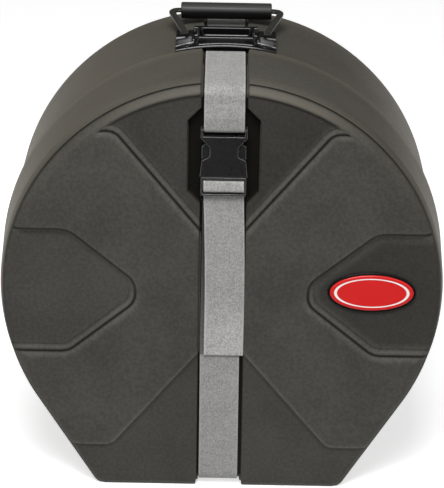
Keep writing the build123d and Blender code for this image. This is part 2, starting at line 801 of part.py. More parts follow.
# Handle base: a moulded tray that bridges the strap, with an ear at each end
base_back = base_front + base_length
slot_front_depth = pivot_depth - ear_slot_front
slot_half_width = bail_width / 2 + ear_slot_clearance
with BuildPart() as handle_base:
    with BuildSketch(depth_plane(base_front)) as base_profile:
        with BuildLine():
            half_profile = [
                (base_half_width, 0), (base_half_width, ear_outer_rise), (tray_half_width, ear_inner_rise),
                (tray_half_width, tray_rise),
            ]
            right = [at(across, rise) for across, rise in half_profile]
            left = [at(-across, rise) for across, rise in reversed(half_profile)]
            Polyline(*right, *left, close=True)
        make_face()
        top_corners = [v for v in base_profile.vertices() if v.Y > centre_height + ear_outer_rise - base_edge_round]
        fillet(top_corners, radius=base_edge_round)
        with Locations((0, centre_height)):
            Circle(seat_radius, mode=Mode.SUBTRACT)
    extrude(amount=-base_length)
    with BuildSketch(depth_plane(base_front)) as scoop_profile:
        with Locations((0, centre_height)):
            Rectangle(2 * reach, 2 * reach, align=(Align.CENTER, Align.MIN))
            Circle(flange_radius, mode=Mode.SUBTRACT)
            Rectangle(2 * tray_half_width, 2 * reach, mode=Mode.SUBTRACT)
    extrude(amount=-scoop_length, mode=Mode.SUBTRACT)
    tray_length = base_length - tray_front_wall - tray_rear_wall
    with BuildSketch(Plane.XY.offset(centre_height + tray_rise)) as tray_outline:
        with Locations((0, y_at(base_front + tray_front_wall + tray_length / 2))):
            Rectangle(2 * (tray_half_width - tray_wall), tray_length)
        fillet(tray_outline.vertices(), radius=base_edge_round)
    extrude(amount=flange_radius - tray_rise, mode=Mode.SUBTRACT)
    for side in (-1, 1):
        with BuildSketch(depth_plane(slot_front_depth)):
            with Locations(at(side * pivot_offset, 0)):
                Rectangle(2 * slot_half_width, 2 * reach, align=(Align.CENTER, Align.MIN))
        extrude(amount=slot_front_depth - base_back, mode=Mode.SUBTRACT)
        with BuildSketch(radial_plane(side, flange_radius, rivet_depth)):
            Circle(rivet_radius + rivet_clearance)
        extrude(amount=seat_radius - flange_radius - overrun, mode=Mode.SUBTRACT)
    pin_centre = (y_at(pivot_depth), centre_height + pivot_rise)
    for side in (-1, 1):
        with BuildSketch(Plane.YZ.offset(side * pivot_offset)):
            with Locations(pin_centre):
                Circle(pin_radius + pin_clearance)
        extrude(amount=pin_length / 2, both=True, mode=Mode.SUBTRACT)
handle_base.part.label = "handle_base"
export_step(handle_base.part, "parts/handle_base.step")

with BuildPart() as handle_pivot_pins:
    for side in (-1, 1):
        with BuildSketch(Plane.YZ.offset(side * pivot_offset)):
            with Locations(pin_centre):
                Circle(pin_radius)
        extrude(amount=pin_length / 2, both=True)
handle_pivot_pins.part.label = "handle_pivot_pins"
export_step(handle_pivot_pins.part, "parts/handle_pivot_pins.step")

# Rivets: a domed head on the flange, a shank through the shell and a set head on the backing plate
with BuildPart() as handle_rivets:
    for side in (-1, 1):
        with BuildSketch(radial_plane(side, flange_radius, rivet_depth)):
            Circle(rivet_head_radius)
        extrude(amount=rivet_head_height)
        with BuildSketch(radial_plane(side, flange_radius, rivet_depth)):
            Circle(rivet_radius)
        extrude(amount=plate_back - flange_radius)
        with BuildSketch(radial_plane(side, plate_back, rivet_depth)):
            Circle(rivet_head_radius)
        extrude(amount=-rivet_head_height)
    head_rims = [e for e in handle_rivets.edges().filter_by(GeomType.CIRCLE).group_by(Axis.Z)[-1]]
    fillet(head_rims, radius=rivet_head_height / 2)
handle_rivets.part.label = "handle_rivets"
export_step(handle_rivets.part, "parts/handle_rivets.step")

with BuildPart() as handle_backing_plates:
    for side in (-1, 1):
        with BuildSketch(radial_plane(side, plate_face, rivet_depth)):
            Rectangle(plate_length, plate_width)
            Circle(rivet_radius + rivet_clearance, mode=Mode.SUBTRACT)
        extrude(amount=-plate_thickness)
handle_backing_plates.part.label = "handle_backing_plates"
export_step(handle_backing_plates.part, "parts/handle_backing_plates.step")

# Handle: a flat steel bail, bent out to the grip and pinned in the ears, with a moulded grip
bail_tilt = atan2(bail_lift, bail_reach)
bail_length = hypot(bail_reach, bail_lift)
bail_plane = Plane(origin=(0, *pin_centre), x_dir=(1, 0, 0), z_dir=(0, -sin(bail_tilt), cos(bail_tilt)))
bail_path = [
    (-pivot_offset, 0), (-pivot_offset, bail_straight), (-bail_spread, bail_length), (bail_spread, bail_length),
    (pivot_offset, bail_straight), (pivot_offset, 0),
]


def bail_band(width, thickness):
    """Flat band bent along the path of the bail."""
    with BuildPart() as band:
        with BuildSketch(bail_plane):
            with BuildLine():
                FilletPolyline(*bail_path, radius=[bail_elbow, bail_corner, bail_corner, bail_elbow])
            trace(line_width=width)
        extrude(amount=thickness / 2, both=True)
    return band.part


with BuildPart() as handle_bail:
    add(bail_band(bail_width, bail_thickness))
    for side in (-1, 1):
        with BuildSketch(Plane.YZ.offset(side * pivot_offset)):
            with Locations(pin_centre):
                Circle(eye_radius)
        extrude(amount=bail_width / 2, both=True)
    for side in (-1, 1):
        with BuildSketch(Plane.YZ.offset(side * pivot_offset)):
            with Locations(pin_centre):
                Circle(pin_radius + pin_clearance)
        extrude(amount=bail_width, both=True, mode=Mode.SUBTRACT)
handle_bail.part.label = "handle_bail"
export_step(handle_bail.part, "parts/handle_bail.step")

with BuildPart() as handle_grip:
    grip_plane = Plane(origin=bail_plane.from_local_coords((0, bail_length, 0)), x_dir=(0, 1, 0), z_dir=(1, 0, 0))
    with BuildSketch(grip_plane) as grip_section:
        Rectangle(grip_depth, grip_height, rotation=degrees(bail_tilt))
        fillet(grip_section.vertices(), radius=grip_round)
    extrude(amount=grip_half_length, both=True)
    fillet(handle_grip.faces().filter_by(Axis.X).edges(), radius=grip_end_round)
    add(bail_band(bail_width + 2 * grip_clearance, bail_thickness + 2 * grip_clearance), mode=Mode.SUBTRACT)
handle_grip.part.label = "handle_grip"
export_step(handle_grip.part, "parts/handle_grip.step")
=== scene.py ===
import math

import bmesh
import bpy
import numpy as np
from mathutils import Matrix, Vector


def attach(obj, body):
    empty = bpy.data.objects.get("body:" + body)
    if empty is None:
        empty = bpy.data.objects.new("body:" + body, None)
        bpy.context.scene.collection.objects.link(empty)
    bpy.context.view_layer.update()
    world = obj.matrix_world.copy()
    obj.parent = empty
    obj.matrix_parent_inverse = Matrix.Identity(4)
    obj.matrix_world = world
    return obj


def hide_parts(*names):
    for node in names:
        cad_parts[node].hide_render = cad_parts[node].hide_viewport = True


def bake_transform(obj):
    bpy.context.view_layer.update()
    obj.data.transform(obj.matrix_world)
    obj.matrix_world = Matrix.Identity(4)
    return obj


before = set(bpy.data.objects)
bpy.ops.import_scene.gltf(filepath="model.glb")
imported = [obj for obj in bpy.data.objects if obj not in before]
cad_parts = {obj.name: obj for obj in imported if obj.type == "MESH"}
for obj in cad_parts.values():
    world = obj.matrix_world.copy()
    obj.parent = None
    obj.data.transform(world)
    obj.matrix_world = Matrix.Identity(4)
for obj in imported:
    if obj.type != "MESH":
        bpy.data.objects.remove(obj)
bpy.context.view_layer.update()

# Viewpoint. The case is seen from a little above the level of its lid through a long lens,
# and it leans by one degree in the picture, so the camera is rolled against it.
MM = 0.001
front_y = -130.5
centre_height = 209.0
target_depth = 7.0
view_distance = 2500.0
view_elevation = math.radians(22.0)
view_roll = math.radians(1.0)
view_target = Vector((0.0, front_y + target_depth, centre_height)) * MM
picture_long_side = 488.0
focal_pixels = 2548.8
sensor = 36.0


def added(name, data):
    """New object in the scene."""
    made = bpy.data.objects.new(name, data)
    bpy.context.scene.collection.objects.link(made)
    return made


level, steep = math.cos(view_elevation), math.sin(view_elevation)
view_back = Vector((0.0, -level, steep))
view_up = Vector((math.sin(-view_roll), steep * math.cos(view_roll), level * math.cos(view_roll)))
view_right = view_up.cross(view_back).normalized()
view_up = view_back.cross(view_right)
camera_data = bpy.data.cameras.new("camera")
camera_data.sensor_width = sensor
camera_data.lens = focal_pixels / picture_long_side * sensor
camera_data.shift_x = 0.001
camera_data.shift_y = 0.0998
camera = added("camera", camera_data)
camera.matrix_world = Matrix.Translation(view_target + view_back * view_distance * MM) @ Matrix(
    (view_right, view_up, view_back)).transposed().to_4x4()
bpy.context.scene.camera = camera
bpy.context.scene.view_settings.view_transform = "Standard"


# Floor and light. The case stands on a white sheet under a broad soft light from above the lid, with a
# weak one at each side. Dark cards behind the case and low in front of it keep its glossy plastic black.
def node_tree(name):
    """New material and its empty node tree."""
    material = bpy.data.materials.new(name)
    material.use_nodes = True
    material.node_tree.nodes.clear()
    return material, material.node_tree


def wired(tree, kind, sockets=None, **settings):
    """New node with its settings; sockets maps an input to a value or to another node's output."""
    node = tree.nodes.new(kind)
    for key, value in settings.items():
        setattr(node, key, value)
    for key, value in (sockets or {}).items():
        if isinstance(value, bpy.types.NodeSocket):
            tree.links.new(value, node.inputs[key])
        else:
            node.inputs[key].default_value = value
    return node


def maths(tree, operation, *terms):
    """Result of an operation on one to three values or outputs."""
    return wired(tree, "ShaderNodeMath", dict(enumerate(terms)), operation=operation).outputs[0]


def ranged(tree, value, span, levels=(0.0, 1.0), curve="LINEAR"):
    """Value carried from a span of numbers to two levels, and held beyond them."""
    return wired(tree, "ShaderNodeMapRange", {
        "Value": value, "From Min": span[0], "From Max": span[1], "To Min": levels[0], "To Max": levels[1]},
        interpolation_type=curve).outputs[0]


def ended(tree, kind, sockets):
    """Shader that a material ends in."""
    wired(tree, "ShaderNodeOutputMaterial", {0: wired(tree, kind, sockets).outputs[0]})


def grey(level):
    """Colour with no hue."""
    return (level, level, level)


def seen_rays(tree):
    """1 for rays of the camera and of mirror-like and clear surfaces, else 0."""
    path = wired(tree, "ShaderNodeLightPath").outputs
    mirrored_ray = maths(tree, "MAXIMUM", path["Is Camera Ray"], path["Is Glossy Ray"])
    return maths(tree, "MAXIMUM", mirrored_ray, path["Is Transmission Ray"])


def meshed(name, points, faces, material):
    """New object from points in metres."""
    mesh = bpy.data.meshes.new(name)
    mesh.from_pydata(points, [], faces)
    mesh.materials.append(material)
    return added(name, mesh)


def grid_faces(rows_count, columns_count, start=0):
    """Four-sided faces of a grid of points stored row by row."""
    index = np.arange(rows_count * columns_count).reshape(rows_count, columns_count) + start
    return np.stack([index[:-1, :-1], index[:-1, 1:], index[1:, 1:], index[1:, :-1]], axis=2).reshape(-1, 4)


floor_tone = 0.86
floor_glow = 0.66
floor_half = 6.0
floor_finish, floor_tree = node_tree("white_sheet")
ended(floor_tree, "ShaderNodeBsdfPrincipled", {
    "Base Color": (*grey(floor_tone), 1), "Roughness": 0.9, "Emission Color": (1, 1, 1, 1),
    "Emission Strength": maths(floor_tree, "MULTIPLY", seen_rays(floor_tree), floor_glow)})
floor = meshed("floor", [(-floor_half, -floor_half, 0), (floor_half, -floor_half, 0), (floor_half, floor_half, 0),
                         (-floor_half, floor_half, 0)], [(0, 1, 2, 3)], floor_finish)

room_level = 0.18
room = bpy.data.worlds.new("room")
room.use_nodes = True
bpy.context.scene.world = room
room_tree = room.node_tree
room_tree.nodes.clear()
room_shade = wired(room_tree, "ShaderNodeBackground", {
    "Color": (1, 1, 1, 1), "Strength": ranged(room_tree, seen_rays(room_tree), (0.0, 1.0), (room_level, 1.0))})
wired(room_tree, "ShaderNodeOutputWorld", {0: room_shade.outputs[0]})


def soft_light(name, place, aim_height, size, power):
    """Square area light at a place, turned towards a height of the case; sizes in metres."""
    data = bpy.data.lights.new(name, "AREA")
    data.size = size
    data.energy = power
    away = (Vector(place) - Vector((0, 0, aim_height))).normalized()
    added(name, data).matrix_world = \
        Matrix.Translation(Vector(place)) @ away.to_track_quat("Z", "Y").to_matrix().to_4x4()


soft_light("top_light", (-0.1, -1.2, 1.83), aim_height=0.3, size=0.9, power=42.0)
soft_light("left_light", (-1.9, -1.1, 0.9), aim_height=0.25, size=0.8, power=2.0)
soft_light("right_light", (1.9, -1.1, 0.9), aim_height=0.25, size=0.8, power=2.0)

card_reach, card_low, card_high = 3.4, 0.25, 7.5
card_tone = 0.12
card_turn = np.linspace(math.radians(-20), math.radians(200), 41)
card_points = np.concatenate([
    np.stack([card_reach * np.cos(card_turn), card_reach * np.sin(card_turn), np.full_like(card_turn, height)], axis=1)
    for height in (card_low, card_high)]).tolist()
low_card = [(-2.5, -3.2, 0.01), (2.5, -3.2, 0.01), (2.5, -0.3, 0.01), (-2.5, -0.3, 0.01)]
card_finish, card_tree = node_tree("dark_card")
ended(card_tree, "ShaderNodeBsdfDiffuse", {"Color": (*grey(card_tone), 1)})
dark_card = meshed("dark_card", card_points + low_card, [
    *grid_faces(2, len(card_turn)).tolist(), [len(card_points) + k for k in range(4)]], card_finish)
dark_card.visible_camera = dark_card.visible_diffuse = dark_card.visible_shadow = False

# Body: a rotomoulded polyethylene shell with a flat back, straight sides that lean in to a flat
# foot, a channel for the strap all round, and a neck at the front that the lid sleeves over.
case_depth = 264.0
side_lean = math.radians(32.5)
foot_corner = 12.0
wall = 4.5
seam = 60.0
channel_half = 22.5
channel_sink = 6.5
channel_flank = 2.0
body_length = 162.0
body_radii = (216.5, 218.0)
closed_gap, seam_gap = 0.00001, 0.00002
relief_blur = 0.5
no_relief = -50.0
round_shares = (0, 0.7025)
corner_shares = (0.8715, 0.892)


def eased(value, knots, levels):
    """Curve through the levels at the knots, level at each knot and S-shaped between them."""
    value = np.asarray(value, float)
    knots, levels = np.asarray(knots, float), np.asarray(levels, float)
    place = np.clip(np.searchsorted(knots, value) - 1, 0, len(knots) - 2)
    share = np.clip((value - knots[place]) / (knots[place + 1] - knots[place]), 0, 1)
    return levels[place] + (levels[place + 1] - levels[place]) * share * share * (3 - 2 * share)


def softer_max(a, b, blur):
    """The greater of two heights, rounded where they cross over a width of about the blur."""
    return 0.5 * (a + b + np.sqrt((a - b) ** 2 + blur * blur))


def flank(share, radius, foot):
    """Right-hand outline of the case at a share of its way: down the round from the seam, along the
    tangent side that leans in to the foot, round the foot corner and back along the flat foot."""
    floor_rise = foot - centre_height
    turn = np.linspace(math.acos(seam / radius), -side_lean, 240)
    side_x, side_z = radius * math.cos(side_lean), -radius * math.sin(side_lean)
    corner_x = side_x - (side_z - floor_rise) * math.tan(side_lean)
    reach = foot_corner * math.tan((math.pi / 2 - side_lean) / 2)
    round_x, round_z = corner_x - reach, floor_rise + foot_corner
    bend = np.linspace(-side_lean, -math.pi / 2, 12)
    line = np.concatenate([
        np.stack([radius * np.cos(turn), radius * np.sin(turn)], axis=1),
        np.stack([round_x + foot_corner * np.cos(bend), round_z + foot_corner * np.sin(bend)], axis=1),
        [[seam, floor_rise]],
    ])
    breaks = np.concatenate([np.linspace(*round_shares, len(turn)), np.linspace(*corner_shares, len(bend)), [1.0]])
    return np.interp(share, breaks, line[:, 0]), np.interp(share, breaks, line[:, 1])


def face_edge(wall_radius, slope, inset, fillet, count):
    """Rings of a quarter round between a face and a side wall."""
    middle = inset + fillet
    centre = wall_radius(middle) - inset - fillet / math.cos(slope)
    turn = np.linspace(0, math.pi / 2 - slope, count)
    return np.stack([centre + fillet * np.sin(turn), middle - fillet * np.sin(turn),
                     middle - fillet * np.cos(turn)], axis=1)


def shell_rings(wall_radius, edge, inset, backs, lip):
    """Rings of a shell from the rings of its edge along its side and round its open edge.
    A ring is (radius, foot height, distance back from the face)."""
    side = np.array([(wall_radius(back) - inset, inset, back) for back in backs])
    rim = np.array([(wall_radius(back) - inset - sink, inset + sink, back) for sink, back in lip])
    return np.concatenate([edge, side, rim])


def shell_grids(rings, sunk_rings, columns, rows, flat_rows, side_columns, half, relief, face_back):
    """Three grids of a shell, left, centre and right, in (x, rise, back).

    Centre: upright columns from the open edge at the foot, over the face, to the open edge at the top;
    within the channel each point moves to the same place on the sunk form. The rows beyond the two flat
    rows are spread out to the edge of the face. Right: rows that run from the seam column out to the
    outline and back along the side. Left: the right one mirrored.
    relief(x, rise) is how far the face lies back at a point."""
    before, row_count = len(rings) - 1, len(rows)
    sunk = eased(np.abs(columns), [half - channel_flank / 2, half + channel_flank / 2], [1, 0])

    def column_path(form, x):
        radius, foot, back = form.T
        upper, lower = np.sqrt(radius ** 2 - x ** 2), foot - centre_height
        rise = rows.copy()
        for flat, outer, edge, beyond in ((flat_rows[1], rows[-1], upper[0], rows > flat_rows[1]),
                                          (flat_rows[0], rows[0], lower[0], rows < flat_rows[0])):
            rise = np.where(beyond, flat + (rows - flat) / (outer - flat) * (edge - flat), rise)
        return (np.concatenate([lower[:0:-1], rise, upper[1:]]),
                np.concatenate([back[:0:-1], np.full(row_count, back[0]), back[1:]]))

    centre = np.zeros((row_count + 2 * before, len(columns), 3))
    for place, x in enumerate(columns):
        outer_path, sunk_path = np.array(column_path(rings, x)), np.array(column_path(sunk_rings, x))
        centre[:, place, 0] = x
        centre[:, place, 1:] = (outer_path + (sunk_path - outer_path) * sunk[place]).T

    seam_rows = centre[before:before + row_count, -1, 1][::-1]
    share_line, level_share = np.linspace(0, 1, 2001), 0.8
    edge_z = flank(share_line, rings[0, 0], rings[0, 1])[1]
    top, bottom = seam_rows[0], seam_rows[-1]
    fallen = (edge_z - top) / (bottom - top)
    guide = top + (bottom - top) * (level_share * fallen + (1 - level_share) * share_line)
    shares = np.interp(-seam_rows, -guide, share_line)
    spread = np.linspace(0, 1, side_columns)
    outer_x, outer_z = flank(shares, rings[0, 0], rings[0, 1])
    x = seam + (outer_x - seam)[:, None] * spread
    z = seam_rows[:, None] + (outer_z - seam_rows)[:, None] * spread
    wrap = [np.stack([*flank(shares, radius, foot), np.full(len(shares), back)], axis=1)
            for radius, foot, back in rings[1:]]
    right = np.concatenate([np.stack([x, z, np.full_like(x, rings[0, 2])], axis=2), np.stack(wrap, axis=1)], axis=1)
    grids = [right[:, ::-1] * (-1, 1, 1), centre, right]
    for grid in grids:
        pressed = softer_max(grid[:, :, 2], relief(grid[:, :, 0], grid[:, :, 1]), relief_blur)
        grid[:, :, 2] = np.where(grid[:, :, 2] < face_back, pressed, grid[:, :, 2])
    return grids


def piece_from(name, points, faces, material, attributes=()):
    """Object from points in millimetres in the case's frame; attributes are (name, value per point)."""
    made = meshed(name, np.asarray(points) * MM, faces, material)
    for label, values in attributes:
        layer = made.data.attributes.new(label, "FLOAT", "POINT")
        layer.data.foreach_set("value", np.asarray(values, np.float32))
    return made


def smoothed(made):
    """Shades a piece smooth."""
    made.data.polygons.foreach_set("use_smooth", np.ones(len(made.data.polygons), bool))
    return made


def welded(made, distance=closed_gap, outward=True):
    """Closes the seams of a piece and, unless they are right already, turns its faces outwards."""
    shape = bmesh.new()
    shape.from_mesh(made.data)
    bmesh.ops.remove_doubles(shape, verts=shape.verts, dist=distance)
    if outward:
        bmesh.ops.recalc_face_normals(shape, faces=shape.faces)
    shape.to_mesh(made.data)
    shape.free()
    return smoothed(made)


def no_steps(points):
    """No lines of a relief."""
    return []


def shell_piece(name, grids, from_front, material, wear_and_light, hollow, steps=no_steps, inside=False):
    """Piece made of a shell's grids; wear_and_light gives the share of paler tone, from wear and painted
    highlight, and hollow the share of painted shade at each point. The back of the case mirrors the front, so its
    faces turn the other way."""
    faces, start = [], 0
    for place, grid in enumerate(grids):
        upright = place == 1
        kept = upright ^ (not from_front) ^ inside
        faces.append(grid_faces(*grid.shape[:2], start)[:, ::1 if kept else -1])
        start += grid.shape[0] * grid.shape[1]
    flat = np.concatenate([grid.reshape(-1, 3) for grid in grids])
    back = flat[:, 2] if from_front else case_depth - flat[:, 2]
    points = np.stack([flat[:, 0], front_y + back, centre_height + flat[:, 1]], axis=1)
    made = piece_from(name, points, np.concatenate(faces).tolist(), material,
                      [("wear_and_light", wear_and_light(flat)), ("hollow", hollow(flat)), *steps(flat)])
    return welded(made, seam_gap, outward=False)


def body_wall(back):
    """Radius of the body's side at a distance from its back wall."""
    return np.interp(back, [0, body_length], body_radii)


def plain(x, z):
    """No relief."""
    return np.full_like(x, no_relief)


def spaced(start, *stretches):
    """Places along a line from a start through (end, step) stretches, each divided evenly."""
    parts = []
    for end, step in stretches:
        parts.append(np.linspace(start, end, max(2, round(abs(end - start) / step) + 1))[:-1])
        start = end
    return np.concatenate([*parts, [start]])


def mirrored(half):
    """Places on both sides of the middle from those of one side."""
    return np.concatenate([-half[:0:-1], half])


# Moulded polyethylene: nearly black brown, matt, with the fine pitted grain of a rotomoulding, paler
# along its edges by wear and painted highlight, and darker in its hollows by painted shade.
def new_group(name, inputs, outputs):
    """Empty node group with float outputs, and what its inputs give: floats by their usual value, and
    vectors, named with None."""
    group = bpy.data.node_groups.new(name, "ShaderNodeTree")
    for label, usual in inputs.items():
        kind = "NodeSocketVector" if usual is None else "NodeSocketFloat"
        socket = group.interface.new_socket(label, in_out="INPUT", socket_type=kind)
        if usual is not None:
            socket.default_value = usual
    for label in outputs:
        group.interface.new_socket(label, in_out="OUTPUT", socket_type="NodeSocketFloat")
    return group, wired(group, "NodeGroupInput").outputs


def noise(tree, place, scale, detail):
    """Cloudy value between nothing and one."""
    return wired(tree, "ShaderNodeTexNoise", {"Vector": place, "Scale": scale, "Detail": detail}).outputs[0]


def object_place(tree):
    """Place on the object, in metres."""
    return wired(tree, "ShaderNodeTexCoord").outputs["Object"]


def attribute(tree, label):
    """Value given on the mesh."""
    return wired(tree, "ShaderNodeAttribute", attribute_name=label).outputs["Fac"]


def mixed(tree, share, under, over, blend_type="MIX"):
    """Colour blended between two, each three numbers or another node's output."""
    under, over = (tone if isinstance(tone, bpy.types.NodeSocket) else (*tone, 1) for tone in (under, over))
    return wired(tree, "ShaderNodeMix", {"Factor": share, "A": under, "B": over}, data_type="RGBA",
                 blend_type=blend_type).outputs["Result"]


def bumped(tree, height, strength, distance, **under):
    """Normal of a surface that is raised by a height."""
    return wired(tree, "ShaderNodeBump", {
        "Height": height, "Strength": strength, "Distance": distance, **under}).outputs[0]


grain, grain_in = new_group("moulding_grain", {"Vector": None, "Grain Size": 1.0}, ("Height", "Mottle"))
grain_place = wired(grain, "ShaderNodeVectorMath", {0: grain_in["Vector"], 1: grain_in["Grain Size"]},
                    operation="DIVIDE").outputs[0]
pits = wired(grain, "ShaderNodeTexVoronoi", {"Vector": grain_place, "Scale": 620.0},
             feature="SMOOTH_F1").outputs["Distance"]
fine = noise(grain, grain_place, 900.0, 3.0)
broad = noise(grain, grain_in["Vector"], 16.0, 4.0)
speck = noise(grain, grain_in["Vector"], 320.0, 4.0)
wired(grain, "NodeGroupOutput", {
    "Height": maths(grain, "ADD", maths(grain, "MULTIPLY", pits, 0.6), maths(grain, "MULTIPLY", fine, 0.5)),
    "Mottle": maths(grain, "MULTIPLY_ADD", broad, 0.45, maths(grain, "MULTIPLY", speck, 0.55))})


def crease_ramp(tree, distance, stops):
    """Value along a ramp of (millimetres, level) stops, read at a distance to a line."""
    reach = 10.0
    ramp = wired(tree, "ShaderNodeValToRGB", {"Fac": ranged(tree, distance, (-reach, reach))})
    ramp.color_ramp.interpolation = "EASE"
    elements = ramp.color_ramp.elements
    while len(elements) < len(stops):
        elements.new(0.5)
    for element, (millimetres, value) in zip(elements, stops):
        element.position = 0.5 + 0.5 * millimetres / reach
        element.color = (value, value, value, 1)
    return ramp.outputs["Color"]


shell_dark = (0.044, 0.0425, 0.0370)
shell_light = (0.064, 0.0615, 0.0540)
# Pale tone of wear and of painted highlight on the shell.
shell_wear_and_highlight = (0.110, 0.1000, 0.0810)
# Multiplier of painted shade in the shell's hollows.
shell_painted_shade = (0.06, 0.06, 0.058)
shell_sheen = (1.0, 0.88, 0.66, 1)
# Ramps along the relief's lines, level at a half: lower values paint a dark crease, higher values a painted highlight
# on the bead or slope beside it; the same values raise the bump.
lower_step = ((-8.2, 0.5), (-6.4, 0.30), (-5.2, 0.50), (-3.2, 0.68), (-1.6, 0.55), (-0.8, 0.14), (0.7, 0.12),
              (1.7, 0.50), (3.0, 0.70), (5.0, 0.58), (8.5, 0.5))
upper_step = ((-6.0, 0.5), (-2.4, 0.60), (-1.1, 0.20), (0.4, 0.22), (1.7, 0.58), (4.5, 0.5))
skirt_step = ((-5.0, 0.5), (-1.6, 0.36), (-0.8, 0.28), (0.1, 0.40), (1.1, 0.82), (2.6, 0.58), (5.0, 0.5))


def moulded_shell(name, creased):
    """Shell finish: a mottled tone, paler by wear and painted highlight, darker by painted shade in the hollows,
    with the fine creases and beads of the relief where the shell has one, in bump and as painted dark creases
    and painted highlights. Their ramps are level at a half."""
    material, tree = node_tree(name)
    texture = wired(tree, "ShaderNodeGroup", {"Vector": object_place(tree)}, node_tree=grain).outputs
    tone = mixed(tree, ranged(tree, texture["Mottle"], (0.38, 0.62)), shell_dark, shell_light)
    tone = mixed(tree, attribute(tree, "wear_and_light"), tone, shell_wear_and_highlight)
    tone = mixed(tree, attribute(tree, "hollow"), tone, shell_painted_shade, "MULTIPLY")
    normal = bumped(tree, texture["Height"], strength=0.25, distance=0.0004)
    if creased:
        pocket = attribute(tree, "pocket_step")
        height = wired(tree, "ShaderNodeMix", {
            "Factor": attribute(tree, "upper_side"), "A": crease_ramp(tree, pocket, lower_step),
            "B": crease_ramp(tree, pocket, upper_step)}, data_type="FLOAT").outputs["Result"]
        for label, stops in (("wedge_step", lower_step), ("skirt_step", skirt_step)):
            height = maths(tree, "MULTIPLY", height, crease_ramp(tree, attribute(tree, label), stops))
            height = maths(tree, "MULTIPLY", height, 2.0)
        # The ramps also scale the tone: painted dark creases and painted highlights.
        painted_light_gain = maths(tree, "MULTIPLY", height, 2.0)
        tone = wired(tree, "ShaderNodeVectorMath", {0: tone, "Scale": painted_light_gain}, operation="SCALE").outputs[0]
        normal = bumped(tree, height, strength=0.5, distance=0.001, Normal=normal)
    ended(tree, "ShaderNodeBsdfPrincipled", {
        "Base Color": tone, "Roughness": ranged(tree, texture["Mottle"], (0.3, 0.7), (0.54, 0.44)),
        "Normal": normal, "Specular IOR Level": 0.1, "Sheen Weight": 0.06, "Sheen Roughness": 0.4,
        "Sheen Tint": shell_sheen})
    return material


shell_finish = moulded_shell("moulded_polyethylene", creased=False)
relief_finish = moulded_shell("relief_polyethylene", creased=True)


def body_wear_and_light(points):
    """Rubbed along the rounding of the back edge, and paler all over its left side, painted light from the left."""
    x, back = points[:, 0], points[:, 2]
    return np.maximum(eased(back, [0, 1.5, 6, 14], [0, 0.8, 0.8, 0.16]),
                      eased(back, [1.5, 6], [0, 1]) * eased(x, [-150, 10], [0.92, 0.16]))


def body_painted_shade(points):
    """Painted shade on the floor of the strap channel."""
    return eased(np.abs(points[:, 0]), [channel_half - 0.5, channel_half + 0.5], [0.85, 0])


lid_rim_radius, neck_start_radius = 222.0, 220.43
neck_gap = 0.6
edge_round = 8.0
neck_sink = body_radii[1] - (lid_rim_radius - wall - neck_gap)
neck_flare = lid_rim_radius - neck_start_radius
neck_foot = neck_sink + neck_flare
neck_end = body_length + 32.0
body_columns = mirrored(spaced(0, (21.2, 3.5), (23.8, 0.45), (seam, 4.5)))
body_rows = spaced(-203.0, (-180.0, 4.0), (180.0, 6.0), (206.0, 3.0))
body_flat_rows = (-180.0, 180.0)
body_backs = (30, 80, 130, 160.5)
body_lip = ((0.1, body_length - 0.3), (0.35, body_length), (neck_sink, body_length + 0.1), (neck_foot, neck_end - 0.8),
            (neck_foot + 0.5, neck_end), (neck_foot + wall - 0.5, neck_end), (neck_foot + wall, neck_end - 0.8),
            (neck_sink + wall, body_length - 2.0))
body_slope = math.atan((body_radii[1] - body_radii[0]) / body_length)
body_form, body_sunk = (
    shell_rings(body_wall, face_edge(body_wall, body_slope, inset, edge_round, 9), inset, body_backs, body_lip)
    for inset in (0.0, channel_sink))
body_skin = shell_piece(
    "body_skin", shell_grids(body_form, body_sunk, body_columns, body_rows, body_flat_rows, side_columns=30,
                             half=channel_half, relief=plain, face_back=-1.0),
    False, shell_finish, body_wear_and_light, body_painted_shade)
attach(body_skin, "body")
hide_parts("body_shell")


# Inside of the body: the same moulding seen from within, one wall further in, behind the foam.
# It is a sheet of its own with its faces turned inwards, and it ends inside the neck.
def unmarked(points):
    """No wear, no painted light and no painted shade."""
    return np.zeros(len(points))


def within(wall_radius, slope, backs):
    """Rings of the inside of a shell and of its channel, one wall in from the outer form."""
    return [shell_rings(wall_radius, face_edge(wall_radius, slope, inset, 4.0, 5), inset, backs[:-1],
                        ((0.0, backs[-1]),)) for inset in (wall, wall + channel_sink)]


inner_half = channel_half - wall / 2
coarse_columns = mirrored(spaced(0, (19.0, 6.5), (21.0, 0.7), (seam, 10.0)))
coarse_rows = spaced(-200.0, (-180.0, 6.0), (180.0, 9.0), (200.0, 5.0))
body_inner = shell_piece(
    "body_inner_skin", shell_grids(*within(body_wall, body_slope, (40, 100, 140, body_length - 2.0)), coarse_columns,
                                   coarse_rows, body_flat_rows, side_columns=16, half=inner_half,
                                   relief=plain, face_back=-1.0),
    False, shell_finish, unmarked, unmarked, inside=True)
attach(body_inner, "body")

# Lid: a rotomoulded shell like the body, with a relief moulded into its face: a V-shaped hollow above,
# a spread hollow below, a blunt-nosed pocket at each side and a deep eight-sided recess for the buckle.
lid_length = 101.0
lid_backs = (0.0, 22.0, lid_length)
lid_radii = (213.2, 218.0, 222.0)
edge_roll, edge_deep, edge_groove = 14.0, 7.0, 0.9
recess_half, recess_bottom, recess_top, recess_cut, recess_sink = 35.0, 93.5, 190.0, 12.5, 12.0
recess_flank = 3.2
cell = recess_cut / 16
far = 260.0
roll_power, sink_power = 1.3, 2.1
groove_form = ((0.5, 0.75), (1.0, 1.0), (1.7, 0.7), (2.5, 0.0))


